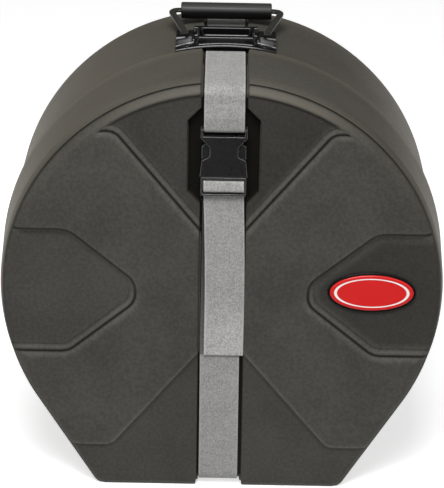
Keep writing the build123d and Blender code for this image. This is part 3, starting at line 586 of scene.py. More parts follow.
def rolled_edge(wall_radius, roll, deep, groove):
    """Rings of a face that rolls away ever faster over the roll width, down to the deep distance, where a
    fine groove parts it from the side wall."""
    away = roll * np.sin(np.linspace(math.pi / 2, 0, 14)) ** roll_power
    back = deep * (1 - away / roll) ** sink_power
    rings = np.stack([wall_radius(deep) - away, away, back], axis=1)
    parting = [(wall_radius(deep + along) - sink * groove, sink * groove, deep + along)
               for along, sink in groove_form]
    return np.concatenate([rings, parting])


def lid_wall(back):
    """Radius of the lid's side at a distance back from its face."""
    return np.interp(back, lid_backs, lid_radii)


def outline_distance(outline, x, z):
    """Distance to a closed outline, negative inside it."""
    nearest = np.full(x.shape, 1e9)
    inside = np.zeros(x.shape, bool)
    for (ax, az), (bx, bz) in zip(outline, np.roll(outline, -1, axis=0)):
        dx, dz = bx - ax, bz - az
        along = np.clip(((x - ax) * dx + (z - az) * dz) / (dx * dx + dz * dz), 0, 1)
        nearest = np.minimum(nearest, np.hypot(x - ax - along * dx, z - az - along * dz))
        if dz != 0:
            inside ^= ((az > z) != (bz > z)) & (x < ax + (z - az) * dx / dz)
    return np.where(inside, -nearest, nearest)


def rounded_outline(corners, radii):
    """Closed outline with each corner replaced by an arc of its radius, in six steps."""
    corners = np.asarray(corners, float)
    made = []
    for place, corner in enumerate(corners):
        before = corners[place - 1] - corner
        after = corners[(place + 1) % len(corners)] - corner
        before, after = before / np.linalg.norm(before), after / np.linalg.norm(after)
        half = math.acos(np.clip(before @ after, -1, 1)) / 2
        if radii[place] == 0:
            made.append(corner[None])
            continue
        reach = radii[place] / math.tan(half)
        bisector = (before + after) / np.linalg.norm(before + after)
        middle = corner + bisector * radii[place] / math.sin(half)
        start, end = corner + before * reach - middle, corner + after * reach - middle
        share = np.linspace(0, 1, 7)[:, None]
        turn = math.pi - 2 * half
        made.append(middle + (np.sin((1 - share) * turn) * start + np.sin(share * turn) * end) / math.sin(turn))
    return np.concatenate(made)


def spread_outline(side_x, side_rise, point_rise, outer):
    """Outline of a V with its arms level beyond two rounded corners, closed at the outer rise."""
    return rounded_outline([(-far, side_rise), (-side_x, side_rise), (0, point_rise), (side_x, side_rise),
                            (far, side_rise), (far, outer), (-far, outer)], (0, 16, 0, 16, 0, 0, 0))


wedge_line = spread_outline(105, 166.7, 41, far)
skirt_line = spread_outline(107.5, -163.5, -36, -far)
pocket_line = rounded_outline(
    [(far, 65.8), (150.5, 65.8), (84.5, 12.5), (84.5, -9.5), (150.5, -62.8), (far, -62.8)],
    (0, 26, 19, 19, 22, 0))
recess_line = np.array([
    (-recess_half + recess_cut, recess_bottom), (recess_half - recess_cut, recess_bottom),
    (recess_half, recess_bottom + recess_cut), (recess_half, recess_top - recess_cut),
    (recess_half - recess_cut, recess_top), (-recess_half + recess_cut, recess_top),
    (-recess_half, recess_top - recess_cut), (-recess_half, recess_bottom + recess_cut)])


def to_lines(x, z):
    """Distances to the outlines of the wedge, the skirt, the pockets and the recess."""
    return [outline_distance(line, across, z) for line, across in (
        (wedge_line, x), (skirt_line, x), (pocket_line, np.abs(x)), (recess_line, x))]


# Steps of the relief: where the floor lies above the step it falls in two soft stages with a crease
# between them, and where the floor lies below it the edge has a slight bead and one quick fall.
two_stage = ((-8.0, -1.6, 1.4, 7.0), (1.0, 0.42, 0.52, 0.0))
one_stage = ((-3.0, 1.2, 2.6, 5.0), (1.0, -0.02, -0.06, 0.0))
wedge_sink, skirt_sink, pocket_sink = 4.2, 2.3, 5.0
wedge_rise_out, wedge_foot, wedge_head = 1.6, 41.0, 206.0
wedge_border = 206.0
face_reach = 13
wedge_shade, pocket_shade, skirt_shade, gutter_shade = 0.17, (0.05, 0.32), 0.12, 0.95


def lid_relief(x, z):
    """How far the lid's face lies back: the deepest of the hollows at each point."""
    wedge, skirt, pocket, recess = to_lines(x, z)
    wedge_floor = wedge_sink - wedge_rise_out * eased(z, [wedge_foot, wedge_head], [0, 1])
    above = eased(z, [-10, 14], [0, 1])
    pocket_fall = eased(pocket, *two_stage) * (1 - above) + eased(pocket, *one_stage) * above
    border = eased(np.hypot(x, z), [wedge_border - 3.0, wedge_border + 0.5], [1, 0])
    depth = eased(wedge, *two_stage) * border * wedge_floor
    depth = np.maximum(depth, 0) + eased(skirt, *one_stage) * skirt_sink + pocket_fall * pocket_sink
    return np.maximum(depth, eased(recess, [-recess_flank / 2, recess_flank / 2], [recess_sink, 0]) +
                      np.where(recess < recess_flank, 0, -9))


def lid_wear_and_light(points):
    """Paler along the rolled edge, most at its top, and along the start of the side wall, a painted highlight;
    rubbed along the rim; and paler all over its left side, painted light from the left."""
    x, z, back = points.T
    roll = eased(np.hypot(x, z), [wedge_border - 1.0, wedge_border + 2.5, 213.0, 216.0], [0, 0.55, 0.35, 0])
    roll = roll * eased(z, [60, 170, 205], [0, 0.85, 1.15]) * eased(np.abs(x), [85, 148], [1, 0.2])
    roll = roll * eased(x, [-10, 50], [1, 1.3])
    left_wall = eased(back, [edge_deep + 3.0, 20], [0, 1]) * eased(x, [-150, 10], [0.58, 0])
    return np.where(back < edge_deep, roll, 0) + left_wall + \
        eased(back, [edge_deep + 1.8, edge_deep + 3.0, 14, 24], [0, 0.6, 0.4, 0.16]) + \
        eased(back, [lid_length - 2.5, lid_length - 1.2], [0, 0.5])


def lid_painted_shade(points):
    """Painted shade on the floors of the relief, darker on its right-hand floors, on the recess and the channel, and
    most in the groove.
    """
    x, z, back = points.T
    wedge, skirt, pocket, recess = to_lines(x, z)
    border = eased(np.hypot(x, z), [wedge_border - 3.5, wedge_border - 1.0, wedge_border + 1.0], [0.26, 0.6, 0])
    right = eased(x, [-30, 60], [0, 1])
    floor = np.maximum.reduce([eased(wedge, [-10, -6], [1, 0]) * (border + wedge_shade * right * (border > 0.2)),
                               eased(pocket, [-14, -7], [1, 0]) * (pocket_shade[0] + pocket_shade[1] * right),
                               eased(skirt, [-4, -1], [skirt_shade, 0])])
    gutter = eased(np.abs(x), [channel_half - 0.3, channel_half + 0.7], [1, 0])
    deep = np.maximum(eased(recess, [-1, 0.7], [1, 0]), gutter)
    groove = eased(back, [edge_deep - 1.6, edge_deep + 0.4, edge_deep + 1.8, edge_deep + 2.5], [0, 1, 1, 0])
    on_edge = np.hypot(x, z) > lid_radii[0] - edge_roll
    return np.where(back < face_reach, np.maximum.reduce([floor, deep, groove * on_edge]), gutter_shade * gutter)


def lid_steps(points):
    """Distances to the lines of the relief, for the fine creases of the finish: bump, painted dark creases and painted
    highlights.
    """
    x, z, back = points.T
    nowhere = 90.0
    wedge, skirt, pocket, recess = to_lines(x, z)
    off_face = (back > edge_deep) | (recess < recess_flank)
    on_border = off_face | (np.hypot(x, z) > wedge_border - 0.5)
    return [("wedge_step", np.where(on_border, nowhere, wedge)),
            ("pocket_step", np.where(off_face, nowhere, pocket)),
            ("skirt_step", np.where(off_face, nowhere, skirt)),
            ("upper_side", eased(z, [-10, 14], [0, 1]))]


channel_in, channel_out = channel_half - cell, channel_half + cell
recess_in, recess_out = recess_half - cell, recess_half + cell
low_in, low_out, low_corner = recess_bottom - cell, recess_bottom + cell, recess_bottom + recess_cut
top_in, top_out, top_corner = recess_top - cell, recess_top + cell, recess_top - recess_cut
lid_flat_rows = (-190.0, top_out + cell)
lid_columns = mirrored(spaced(0, (channel_in - cell, 2.2), (channel_in, cell), (channel_out, cell / 2),
    (recess_in, cell), (recess_out, cell / 2), (recess_out + cell, cell), (seam, 1.6)))
lid_rows = spaced(-202.0, (lid_flat_rows[0], 1.4), (low_in - cell, 1.62), (low_in, cell), (low_out, cell / 2),
    (low_corner + 2 * cell, cell), (top_corner - 2 * cell, 1.6), (top_in, cell), (top_out, cell / 2),
    (lid_flat_rows[1], cell), (lid_flat_rows[1] + 12, 1.2))
lid_side_backs = (15.5, 20.5, 21.6, 22.4, 23.5, 35.0, 60.0, 85.0, lid_length - 1.0)
inner_end = lid_length - 32.0
lid_lip = ((0.08, lid_length - 0.5), (0.5, lid_length - 0.08), (1.0, lid_length), (wall - 1.0, lid_length),
           (wall - 0.4, lid_length - 0.1), (wall, lid_length - 0.8), (wall, inner_end))
lid_slope = math.atan((lid_radii[1] - lid_radii[0]) / lid_backs[1])
lid_edge = rolled_edge(lid_wall, edge_roll, edge_deep, edge_groove)
lid_form = shell_rings(lid_wall, lid_edge, 0.0, lid_side_backs, lid_lip)
lid_sunk = shell_rings(lid_wall, face_edge(lid_wall, lid_slope, channel_sink, edge_round, len(lid_edge)),
                       channel_sink, lid_side_backs, lid_lip)
lid_skin = shell_piece(
    "lid_skin", shell_grids(lid_form, lid_sunk, lid_columns, lid_rows, lid_flat_rows, side_columns=84,
                            half=channel_half, relief=lid_relief, face_back=face_reach + 1.0),
    True, relief_finish, lid_wear_and_light, lid_painted_shade, lid_steps)
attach(lid_skin, "lid")
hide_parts("lid_shell")


# Inside of the lid: the relief shows from within too, one wall further in, behind the foam.
# It is a sheet of its own with its faces turned inwards, and it ends inside the rim.
def inner_relief(x, z):
    """How far the inside of the lid's face lies back from the front plane."""
    return lid_relief(x, z) + wall


lid_inner_rows = spaced(-200.0, (-180.0, 6.0), (180.0, 5.0), (196.0, 4.0))
lid_inner_columns = mirrored(spaced(0, (18.5, 6.0), (21.0, 0.8), (29.0, 4.0), (36.0, 1.0), (seam, 6.0)))
lid_inner = shell_piece(
    "lid_inner_skin", shell_grids(*within(lid_wall, lid_slope, (22, 40, 55, inner_end)), lid_inner_columns,
                                  lid_inner_rows, body_flat_rows, side_columns=30, half=inner_half,
                                  relief=inner_relief, face_back=face_reach + wall),
    True, shell_finish, unmarked, unmarked, inside=True)
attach(lid_inner, "lid")

# Foam lining: soft closed-cell foam cut from sheet, a ring bent round inside each shell, a sheet on the
# back wall, a sheet each side of the channel in the lid and a block in each corner of the foot.
pores, pores_in = new_group("foam_pores", {"Vector": None}, ("Height", "Shade"))
bubbles = noise(pores, pores_in["Vector"], 90.0, 5.0)
cells = wired(pores, "ShaderNodeTexVoronoi", {"Vector": pores_in["Vector"], "Scale": 750.0}).outputs["Distance"]
wired(pores, "NodeGroupOutput", {"Height": maths(pores, "MULTIPLY_ADD", cells, 0.5, bubbles), "Shade": bubbles})

foam_dark = (0.022, 0.022, 0.023)
foam_light = (0.048, 0.048, 0.050)
foam_finish, foam_tree = node_tree("lining_foam")
foam_texture = wired(foam_tree, "ShaderNodeGroup", {"Vector": object_place(foam_tree)}, node_tree=pores).outputs
ended(foam_tree, "ShaderNodeBsdfPrincipled", {
    "Base Color": mixed(foam_tree, foam_texture["Shade"], foam_dark, foam_light), "Roughness": 0.93,
    "Normal": bumped(foam_tree, foam_texture["Height"], strength=0.5, distance=0.0007), "Sheen Weight": 0.25,
    "Specular IOR Level": 0.2})

foam_inner = 192.0
foam_corner = 4.0
foam_square = 0.16
foam_even, foam_edge = 0.55, 0.4


def loop_faces(rings, count, capped=True):
    """Faces between rings of points, each ring closed on itself, and over the two ends."""
    index = np.arange(rings * count).reshape(rings, count)
    after = np.roll(index, -1, axis=1)
    faces = np.stack([index[:-1], after[:-1], after[1:], index[1:]], axis=2).reshape(-1, 4).tolist()
    return faces + [index[0, ::-1].tolist(), index[-1].tolist()] if capped else faces


def squared(wave, power):
    """Sine or cosine drawn out towards its ends, for sections between an oval and a rectangle."""
    return np.sign(wave) * np.abs(wave) ** power


def foam_ring(name, outer, floor_rise, notch_half, notch_rise, start, end, nodes, body):
    """Band of foam bent round the drum: a soft-cornered rectangle carried round the circle from one side
    of the strap channel at the foot to the other, thinner where it meets the foot and the channel."""
    gap = math.asin((notch_half + 0.4) / foam_inner)
    turn = np.linspace(-math.pi / 2 + gap, 1.5 * math.pi - gap, 220)
    across, up = np.cos(turn), np.sin(turn)
    reach = np.full_like(turn, outer)
    reach = np.where(up < 0, np.minimum(reach, floor_rise / np.maximum(-up, 0.05)), reach)
    near_notch = (up > 0) & (np.abs(across) * outer < notch_half + 3)
    reach = np.where(near_notch, np.minimum(reach, notch_rise / np.maximum(up, 0.05)), reach)
    section = np.linspace(0, 2 * math.pi, 41)[:-1]
    flat_r, flat_d = squared(np.cos(section), foam_square), squared(np.sin(section), foam_square)
    taper = eased(np.minimum(turn - turn[0], turn[-1] - turn), [0, 0.03], [0.86, 1])
    middle = (foam_inner + reach) / 2
    half = (reach - foam_inner) / 2
    radius = middle[:, None] + half[:, None] * flat_r * taper[:, None]
    depth = (start + end) / 2 + (end - start) / 2 * flat_d * (0.97 + 0.03 * taper[:, None])
    points = np.stack([radius * across[:, None], front_y + depth, centre_height + radius * up[:, None]], axis=2)
    faces = loop_faces(len(turn), len(section))
    return foam_piece(name, points.reshape(-1, 3), faces, nodes, body)


def foam_piece(name, points, faces, nodes, body):
    """Closed piece of foam in its place on a body."""
    made = welded(piece_from(name, points, faces, foam_finish))
    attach(made, body)
    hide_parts(*nodes)
    return made


def foam_slab(name, outline, front, back, nodes, body):
    """Sheet of foam with soft edges: rings of the outline drawn in towards its middle, from the middle
    of the front over the rounded edge to the middle of the back."""
    outline = np.asarray(outline, float)
    middle = (outline.max(axis=0) + outline.min(axis=0)) / 2
    away = outline - middle
    size = np.linalg.norm(away, axis=1, keepdims=True)
    turn = np.linspace(0, math.pi, 9)
    rings = [(0.0, front), (foam_even, front)]
    rings += list(zip(1 - foam_corner * (1 - np.sin(turn)) / size.mean(),
                      (front + back) / 2 - (back - front) / 2 * squared(np.cos(turn), foam_edge)))
    rings += [(foam_even, back), (0.0, back)]
    points = np.concatenate([
        np.concatenate([middle + away * share, np.full((len(outline), 1), depth)], axis=1) for share, depth in rings])
    placed = np.stack([points[:, 0], front_y + points[:, 2], centre_height + points[:, 1]], axis=1)
    return foam_piece(name, placed, loop_faces(len(rings), len(outline), False), nodes, body)


foam_ring("foam_body_ring", outer=210.2, floor_rise=199.1, notch_half=32.4, notch_rise=201.4, start=70.3, end=246.9,
          nodes=["body_side_liner"], body="body")
foam_ring("foam_lid_ring", outer=210.2, floor_rise=204.2, notch_half=27.3, notch_rise=205.0, start=24.1, end=69.7,
          nodes=["lid_side_liner"], body="lid")

shares = np.linspace(0, 1, 120)
rear_x, rear_z = flank(shares, 211.2, 5.2)
foam_slab("foam_back_sheet", np.concatenate([np.stack([rear_x, rear_z], 1), np.stack([-rear_x, rear_z], 1)[::-1]]),
          front=247.3, back=252.4, nodes=["body_rear_pad"], body="body")
pad_inset, pad_radius = 41.0, 210.2
block_inset, block_top, block_low, block_radius = 70.5, -139.5, -198.4, 210.6
pad_x, pad_z = flank(shares, pad_radius, 5.0)
corner_x, corner_z = flank(shares, 212.6, 5.2)
low = (corner_z < block_top) & (corner_x > block_inset)
arc = np.linspace(math.asin(block_top / block_radius), math.asin(block_low / block_radius), 24)
for side, label in ((1, "right"), (-1, "left")):
    head = (side * pad_inset, math.sqrt(pad_radius ** 2 - pad_inset ** 2) - 0.5)
    outline = np.concatenate([[head], np.stack([side * pad_x, pad_z], 1), [(side * pad_inset, pad_z[-1])],
                              np.stack([np.full(20, side * pad_inset), np.linspace(-180, 180, 20)], 1)])
    foam_slab("foam_lid_sheet_" + label, outline, front=10.0, back=23.6, nodes=["lid_pad_" + label],
              body="lid")
    block = np.concatenate([
        np.stack([side * corner_x[low], corner_z[low]], 1), [(side * block_inset, corner_z[-1])],
        np.stack([side * block_radius * np.cos(arc), block_radius * np.sin(arc)], 1)[::-1]])
    foam_slab("foam_corner_" + label, block, front=107.2, back=246.6, nodes=["body_corner_block_" + label],
              body="body")

# Strap: one length of grey polypropylene webbing that runs round the case in the channel. It is held by
# the bar of the buckle's socket at the top and threads the ladder of the plug below, where its end hangs.
# The front is made in two runs.
strap_width = 39.0
strap_thick = 1.8
strap_lift = 1.2
strap_sink = channel_sink - strap_lift
rib_pitch = 1.1
pick_pitch = 1.3
turn_round = 9.2
ripple_height, ripple_long, ripple_wide = 0.10, 17.0, 11.0

weave, weave_in = new_group("ribbed_weave", {"Across": 0.0, "Along": 0.0, "Rib Pitch": 2.0, "Pick Pitch": 1.3},
                            ("Height", "Thread"))
rib = maths(weave, "DIVIDE", weave_in["Across"], weave_in["Rib Pitch"])
rib_height = maths(weave, "ABSOLUTE", maths(weave, "SINE", maths(weave, "MULTIPLY", rib, math.pi)))
rib_number = maths(weave, "FLOOR", rib)
pick = maths(weave, "DIVIDE", weave_in["Along"], weave_in["Pick Pitch"])
pick_shift = maths(weave, "MULTIPLY_ADD", rib_number, 0.5, pick)
pick_wave = maths(weave, "SINE", maths(weave, "MULTIPLY", pick_shift, 2 * math.pi))
pick_share = maths(weave, "MULTIPLY_ADD", pick_wave, 0.25, 0.6)
crossing = wired(weave, "ShaderNodeCombineXYZ", {"X": rib_number, "Y": maths(weave, "FLOOR", pick_shift)})
thread = wired(weave, "ShaderNodeTexWhiteNoise", {"Vector": crossing.outputs[0]}, noise_dimensions="2D")
wired(weave, "NodeGroupOutput", {"Height": maths(weave, "MULTIPLY", rib_height, pick_share),
                                 "Thread": thread.outputs["Value"]})

strap_dark = (0.217, 0.215, 0.207)
strap_light = (0.493, 0.486, 0.474)
# Painted shade where the strap runs under and behind the handle, and painted shade given on the mesh along the strap.
strap_handle_shade = (0.30, 0.30, 0.28)
strap_painted_shade = grey(0.03)
handle_shade_top = (0.38, 0.41)
handle_shade_front, handle_shade_back = (-0.024, -0.012), (0.078, 0.098)
strap_finish, strap_tree = node_tree("grey_webbing")
off_middle = attribute(strap_tree, "across")
threads = wired(strap_tree, "ShaderNodeGroup", {
    "Across": off_middle, "Along": attribute(strap_tree, "along"), "Rib Pitch": rib_pitch, "Pick Pitch": pick_pitch},
    node_tree=weave).outputs
strap_place = object_place(strap_tree)
strap_share = ranged(strap_tree, noise(strap_tree, strap_place, 60.0, 5.0), (0.0, 1.0), (0.33, 0.73))
strap_share = maths(strap_tree, "MULTIPLY_ADD", threads["Thread"], 0.64, strap_share)
strap_share = maths(strap_tree, "MULTIPLY_ADD", threads["Height"], 0.35, strap_share)
selvedge = ranged(strap_tree, maths(strap_tree, "ABSOLUTE", off_middle), (17.4, 18.6), (-0.45, 0.0))
strap_tone = mixed(strap_tree, maths(strap_tree, "ADD", strap_share, selvedge), strap_dark, strap_light)
strap_axes = wired(strap_tree, "ShaderNodeSeparateXYZ", {0: strap_place}).outputs
# Painted shade where the strap runs under and behind the handle.
handle_shade_run = maths(strap_tree, "MULTIPLY", ranged(strap_tree, strap_axes["Y"], handle_shade_front, curve="SMOOTHSTEP"),
                   ranged(strap_tree, strap_axes["Y"], handle_shade_back, (1.0, 0.0), "SMOOTHSTEP"))
handle_shade_share = maths(strap_tree, "MULTIPLY", handle_shade_run,
                     ranged(strap_tree, strap_axes["Z"], handle_shade_top, curve="SMOOTHSTEP"))
strap_tone = mixed(strap_tree, handle_shade_share, strap_tone, strap_handle_shade, "MULTIPLY")
# Painted shade along the strap, darkest behind its hanging end.
strap_tone = mixed(strap_tree, attribute(strap_tree, "painted_shade"), strap_tone, strap_painted_shade, "MULTIPLY")
ended(strap_tree, "ShaderNodeBsdfPrincipled", {
    "Base Color": strap_tone, "Roughness": 0.72,
    "Normal": bumped(strap_tree, threads["Height"], strength=0.6, distance=0.0005),
    "Sheen Weight": 0.2})


def rounded_path(corners, radii, step=1.5):
    """Open path of (depth, rise) points with its inner corners rounded, divided evenly."""
    corners = np.asarray(corners, float)
    line = [corners[0]]
    for corner, before, after, radius in zip(corners[1:-1], corners[:-2], corners[2:], radii):
        arc = rounded_outline([before, corner, after], (0, radius, 0))[1:-1]
        line.extend(arc)
    line.append(corners[-1])
    line = np.asarray(line)
    length = np.concatenate([[0], np.cumsum(np.linalg.norm(np.diff(line, axis=0), axis=1))])
    places = np.linspace(0, length[-1], max(8, round(length[-1] / step)))
    return np.stack([np.interp(places, length, line[:, 0]), np.interp(places, length, line[:, 1])], axis=1), places


def rounded_bar(half_wide, half_thin, round_edge, steps, dish=0.0):
    """Section of a flat bar with rounded edges: points (through, across), anticlockwise. The broad faces
    may be dished by a cosine that is nothing at the edges."""
    turn = np.linspace(0, math.pi / 2, 4)
    flat = np.linspace(round_edge - half_wide, half_wide - round_edge, steps)
    quarter = np.stack([half_thin - round_edge + round_edge * np.cos(turn),
                        half_wide - round_edge + round_edge * np.sin(turn)], axis=1)
    sunk = dish * np.cos(flat / (half_wide - round_edge) * math.pi / 2) ** 0.6
    side = np.stack([half_thin - sunk, flat], axis=1)[1:-1]
    half = np.concatenate([side, quarter, quarter[::-1] * (-1, 1)])
    return np.concatenate([half, -half])


def swept(name, path, places, section, start, axes, material, drift=(0.0, 0.0), ripple=0.0):
    """Section carried along a flat path: each point of the path plus its through value along the path's
    own normal plus its across value straight out of the path's plane. start and axes place the plane."""
    heading = np.gradient(path, axis=0)
    heading /= np.linalg.norm(heading, axis=1, keepdims=True)
    through, across = section.T
    wave = ripple * np.sin(places / ripple_long)[:, None] * np.cos(across / ripple_wide)
    shift = across + np.interp(places, np.linspace(0, places[-1], len(drift)), drift)[:, None]
    first = path[:, :1] - heading[:, 1:] * (through + wave)
    second = path[:, 1:] + heading[:, :1] * (through + wave)
    first_axis, second_axis, out_axis = np.asarray(axes, float)
    points = (np.asarray(start, float) + first[..., None] * first_axis + second[..., None] * second_axis +
              shift[..., None] * out_axis).reshape(-1, 3)
    return welded(piece_from(name, points, loop_faces(len(path), len(section)), material, [
        ("across", np.tile(across, len(path))), ("along", np.repeat(places, len(section)))]))


def strap_run(name, corners, radii, shade_along, drift=(0.0, 0.0)):
    """Run of webbing: a thin band with round edges carried along a path seen from the side. shade_along gives
    the rises, and at each the share of painted shade on the run: painted shadow of the strap's hanging end, and a
    painted darkening elsewhere."""
    path, places = rounded_path(corners, radii)
    section = rounded_bar(strap_width / 2, strap_thick / 2, strap_thick / 2 - 0.05, 27)
    made = swept(name, path, places, section,
                 (0, front_y, centre_height), ((0, 1, 0), (0, 0, 1), (1, 0, 0)), strap_finish, drift, ripple_height)
    shade = made.data.attributes.new("painted_shade", "FLOAT", "POINT")
    shade.data.foreach_set("value", np.repeat(np.interp(path[:, 1], *shade_along), len(section)).astype(np.float32))
    return made


def lid_crown(depth):
    """Rise of the strap over the lid."""
    return float(lid_wall(depth)) - strap_sink


def body_crown(depth):
    """Rise of the strap over the body."""
    return float(body_wall(case_depth - depth)) - strap_sink


strap_floor = strap_sink - centre_height
parting = 180.0
bar_rise, bar_front, bar_back = 168.5, 1.2, 6.6
ladder_rise, ladder_height, ladder_front, tail_depth = 117.3, 8.1, -1.6, 3.2
# Each run's shade_along lays painted shade: darker over the top, round the back and below the hanging end.
strap_over = strap_run(
    "strap_over_top",
    [(bar_back, 186), (bar_back, bar_rise - strap_lift), (bar_front, bar_rise - strap_lift), (bar_front, 182),
     (strap_sink, 195), (strap_sink, lid_crown(strap_sink)), (lid_backs[1], lid_crown(lid_backs[1])),
     (lid_length, lid_crown(lid_length)), (lid_length + 2, lid_crown(lid_length)), (112, body_crown(112)),
     (parting, body_crown(parting))],
    (2.5, 2.5, turn_round, turn_round, turn_round, turn_round, 1, 4, 4), shade_along=((195, 210), (0.37, 0.21)))
strap_back = strap_run(
    "strap_round_back",
    [(parting, body_crown(parting)), (case_depth - strap_sink, body_crown(case_depth - strap_sink)),
     (case_depth - strap_sink, strap_floor), (parting, strap_floor)],
    (turn_round, turn_round), shade_along=((0, 1), (0.21, 0.21)))
split_rise, end_rise = -48.0, -65.0
ladder_foot = ladder_rise - ladder_height / 2
# Painted shadow of the hanging end on the runs behind it, and painted shade below it.
behind_end = ((-200, end_rise - 1.5, end_rise, -9, 50), (0.34, 0.30, 0.78, 0.9, 1))
strap_front = strap_run(
    "strap_up_front", [(parting, strap_floor), (strap_sink, strap_floor), (strap_sink, split_rise)], (turn_round,),
    drift=(0, -1.0), shade_along=behind_end)
strap_plug = strap_run(
    "strap_to_plug", [(strap_sink, split_rise), (strap_sink, ladder_foot)], (), drift=(-1.0, 0), shade_along=behind_end)
strap_end = strap_run(
    "strap_end",
    [(strap_sink, ladder_foot + 0.3), (strap_sink, ladder_rise + strap_lift),
     (ladder_front, ladder_rise + strap_lift), (ladder_front, ladder_rise - ladder_height - strap_lift),
     (tail_depth, ladder_rise - ladder_height - strap_lift), (tail_depth, end_rise)],
    (1.5, 1.5, 1.5, 1.5), drift=(0, 0.6, 1.7, 2.6, 3.0, 3.0, 2.9),
    shade_along=((end_rise, -40, -12, 100, 107), (0, 0.04, 0.22, 0.32, 0.15)))
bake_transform(strap_over)
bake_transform(strap_front)
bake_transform(strap_plug)
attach(strap_back, "body")
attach(strap_end, "plug")
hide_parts("upper_strap")
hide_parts("rear_strap")
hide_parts("lower_strap")
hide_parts("lower_strap")
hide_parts("strap_tail")


# Buckle: acetal side-release buckle, moulded in a black satin grain: a socket, a plug and its two
# latch arms. They keep the solids' shapes, with their edges rounded and paled by a painted highlight.
# Pale tone of the painted highlight along sharp edges.
painted_edge_highlight = grey(0.17)
sharp_angle = math.radians(35)


def plastic_finish(name, dark, light, rough, pitted, shine, round_edge=0.0, painted_glint_colour=None):
    """Moulded plastic with a faint grain; rough is the span of its roughness, shine its specular level, and
    round_edge the radius in metres over which its sharp edges are rounded in the shading and paled by a
    painted highlight. painted_glint_colour is the colour of a painted highlight on the faces given on the mesh
    by the attribute painted_glint."""
    material, tree = node_tree(name)
    texture = wired(tree, "ShaderNodeGroup", {"Vector": object_place(tree), "Grain Size": 0.7},
                    node_tree=grain).outputs
    tone = mixed(tree, texture["Mottle"], dark, light)
    under = {}
    if painted_glint_colour:
        tone = mixed(tree, attribute(tree, "painted_glint"), tone, painted_glint_colour)
    if round_edge:
        edges = wired(tree, "ShaderNodeBevel", {"Radius": round_edge}, samples=6).outputs[0]
        under["Normal"] = edges
        facing = wired(tree, "ShaderNodeNewGeometry").outputs["Normal"]
        turned = wired(tree, "ShaderNodeVectorMath", {0: edges, 1: facing}, operation="DOT_PRODUCT").outputs["Value"]
        # Painted highlight: the sharp edges paled where the bevelled normal turns away.
        tone = mixed(tree, ranged(tree, turned, (0.98, 0.82)), tone, painted_edge_highlight)
    ended(tree, "ShaderNodeBsdfPrincipled", {
        "Base Color": tone, "Roughness": ranged(tree, texture["Mottle"], (0.3, 0.7), rough),
        "Normal": bumped(tree, texture["Height"], pitted, 0.0003, **under), "Specular IOR Level": shine})
    return material


def carried(names, material, round_edge):
    """Keeps the solids of some nodes, with their edges rounded, in millimetres, and a new finish."""
    for name in names:
        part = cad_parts[name]
        part.data.materials.clear()
        part.data.materials.append(material)
        weld = part.modifiers.new("weld", "WELD")
        weld.merge_threshold = closed_gap
        bevel = part.modifiers.new("edges", "BEVEL")
        bevel.width = round_edge * MM
        bevel.segments = 2
        bevel.limit_method = "ANGLE"
        bevel.angle_limit = sharp_angle
        bevel.harden_normals = False
        smoothed(part)
        part.modifiers.new("sharp", "WEIGHTED_NORMAL")


buckle_finish = plastic_finish(
    "buckle_acetal", grey(0.005), grey(0.015), rough=(0.24, 0.36), pitted=0.04, shine=0.35, round_edge=0.0012)
carried(["buckle_socket", "latch_left", "latch_right", "buckle_plug"], buckle_finish, round_edge=0.4)

# Badge: an oval plate in the right-hand pocket, a black rim round a domed red face with a pale line.
badge_x, badge_z, ring_half_x, ring_half_z = 147.0, 4.2, 35.5, 14.7
rim_finish = plastic_finish(
    "badge_rim", grey(0.004), grey(0.007), rough=(0.25, 0.32), pitted=0.03, shine=0.15)
face_finish = plastic_finish(
    "badge_enamel", (0.56, 0.012, 0.012), (0.62, 0.016, 0.015), rough=(0.18, 0.24), pitted=0.01, shine=0.3)
ring_colour = (0.80, 0.76, 0.74)
badge_tree = face_finish.node_tree
badge_place = wired(badge_tree, "ShaderNodeMapping", {
    "Vector": object_place(badge_tree),
    "Location": (-badge_x / ring_half_x, 0.0, -(centre_height + badge_z) / ring_half_z),
    "Scale": (1 / (ring_half_x * MM), 0.0, 1 / (ring_half_z * MM))}).outputs[0]
badge_reach = wired(badge_tree, "ShaderNodeVectorMath", {0: badge_place}, operation="LENGTH").outputs["Value"]
off_ring = maths(badge_tree, "ABSOLUTE", maths(badge_tree, "SUBTRACT", badge_reach, 1.0))
badge_colour = next(node for node in badge_tree.nodes if node.type == "BSDF_PRINCIPLED").inputs["Base Color"]
badge_tree.links.new(mixed(badge_tree, ranged(badge_tree, off_ring, (0.030, 0.046), (1.0, 0.0)),
                           badge_colour.links[0].from_socket, ring_colour), badge_colour)
carried(["badge_bezel"], rim_finish, round_edge=0.3)
carried(["badge_face"], face_finish, round_edge=0.3)

# Handle base: glossy black plastic that bridges the strap on the curve of the case, an open tray with
# rounded rails between two ears. A scoop in front of each ear leaves a flange for the rivet.
handle_finish = plastic_finish(
    "handle_plastic", grey(0.002), grey(0.005), rough=(0.12, 0.18), pitted=0.03, shine=0.28,
    painted_glint_colour=(0.17, 0.17, 0.175))
base_half, base_long, base_start = 50.0, 46.0, -19.5
seat, flange = 218.3, 2.9
tray_half, tray_back_half, tray_top, tray_floor = 28.6, 33.0, 228.4, 219.6
tray_front, tray_rear, open_front, open_rear, open_half = 3.8, 44.6, 8.4, 38.0, 25.6
rail_outer, rail_inner, steep_side = 1.9, 1.5, 0.3
ear_start, ear_inner, ear_outer = 31.2, 223.4, 222.0
ledge_front, ledge_slant, ledge_rise = 9.4, 4.5, 1.5
scoop_near, scoop_far = 16.0, 25.5
lip_length, lip_share = 4.0, 0.5
hollow_turn, hollow_full = 0.99, 0.86
ear_cap, ear_round, ear_corner = 12.0, 1.6, 2.0
tray_corner, back_corner, open_corner = 2.2, 1.5, 2.0
slot_edge, slot_sink, ear_sink, base_sunk = 0.3, 1.4, 0.3, 0.2
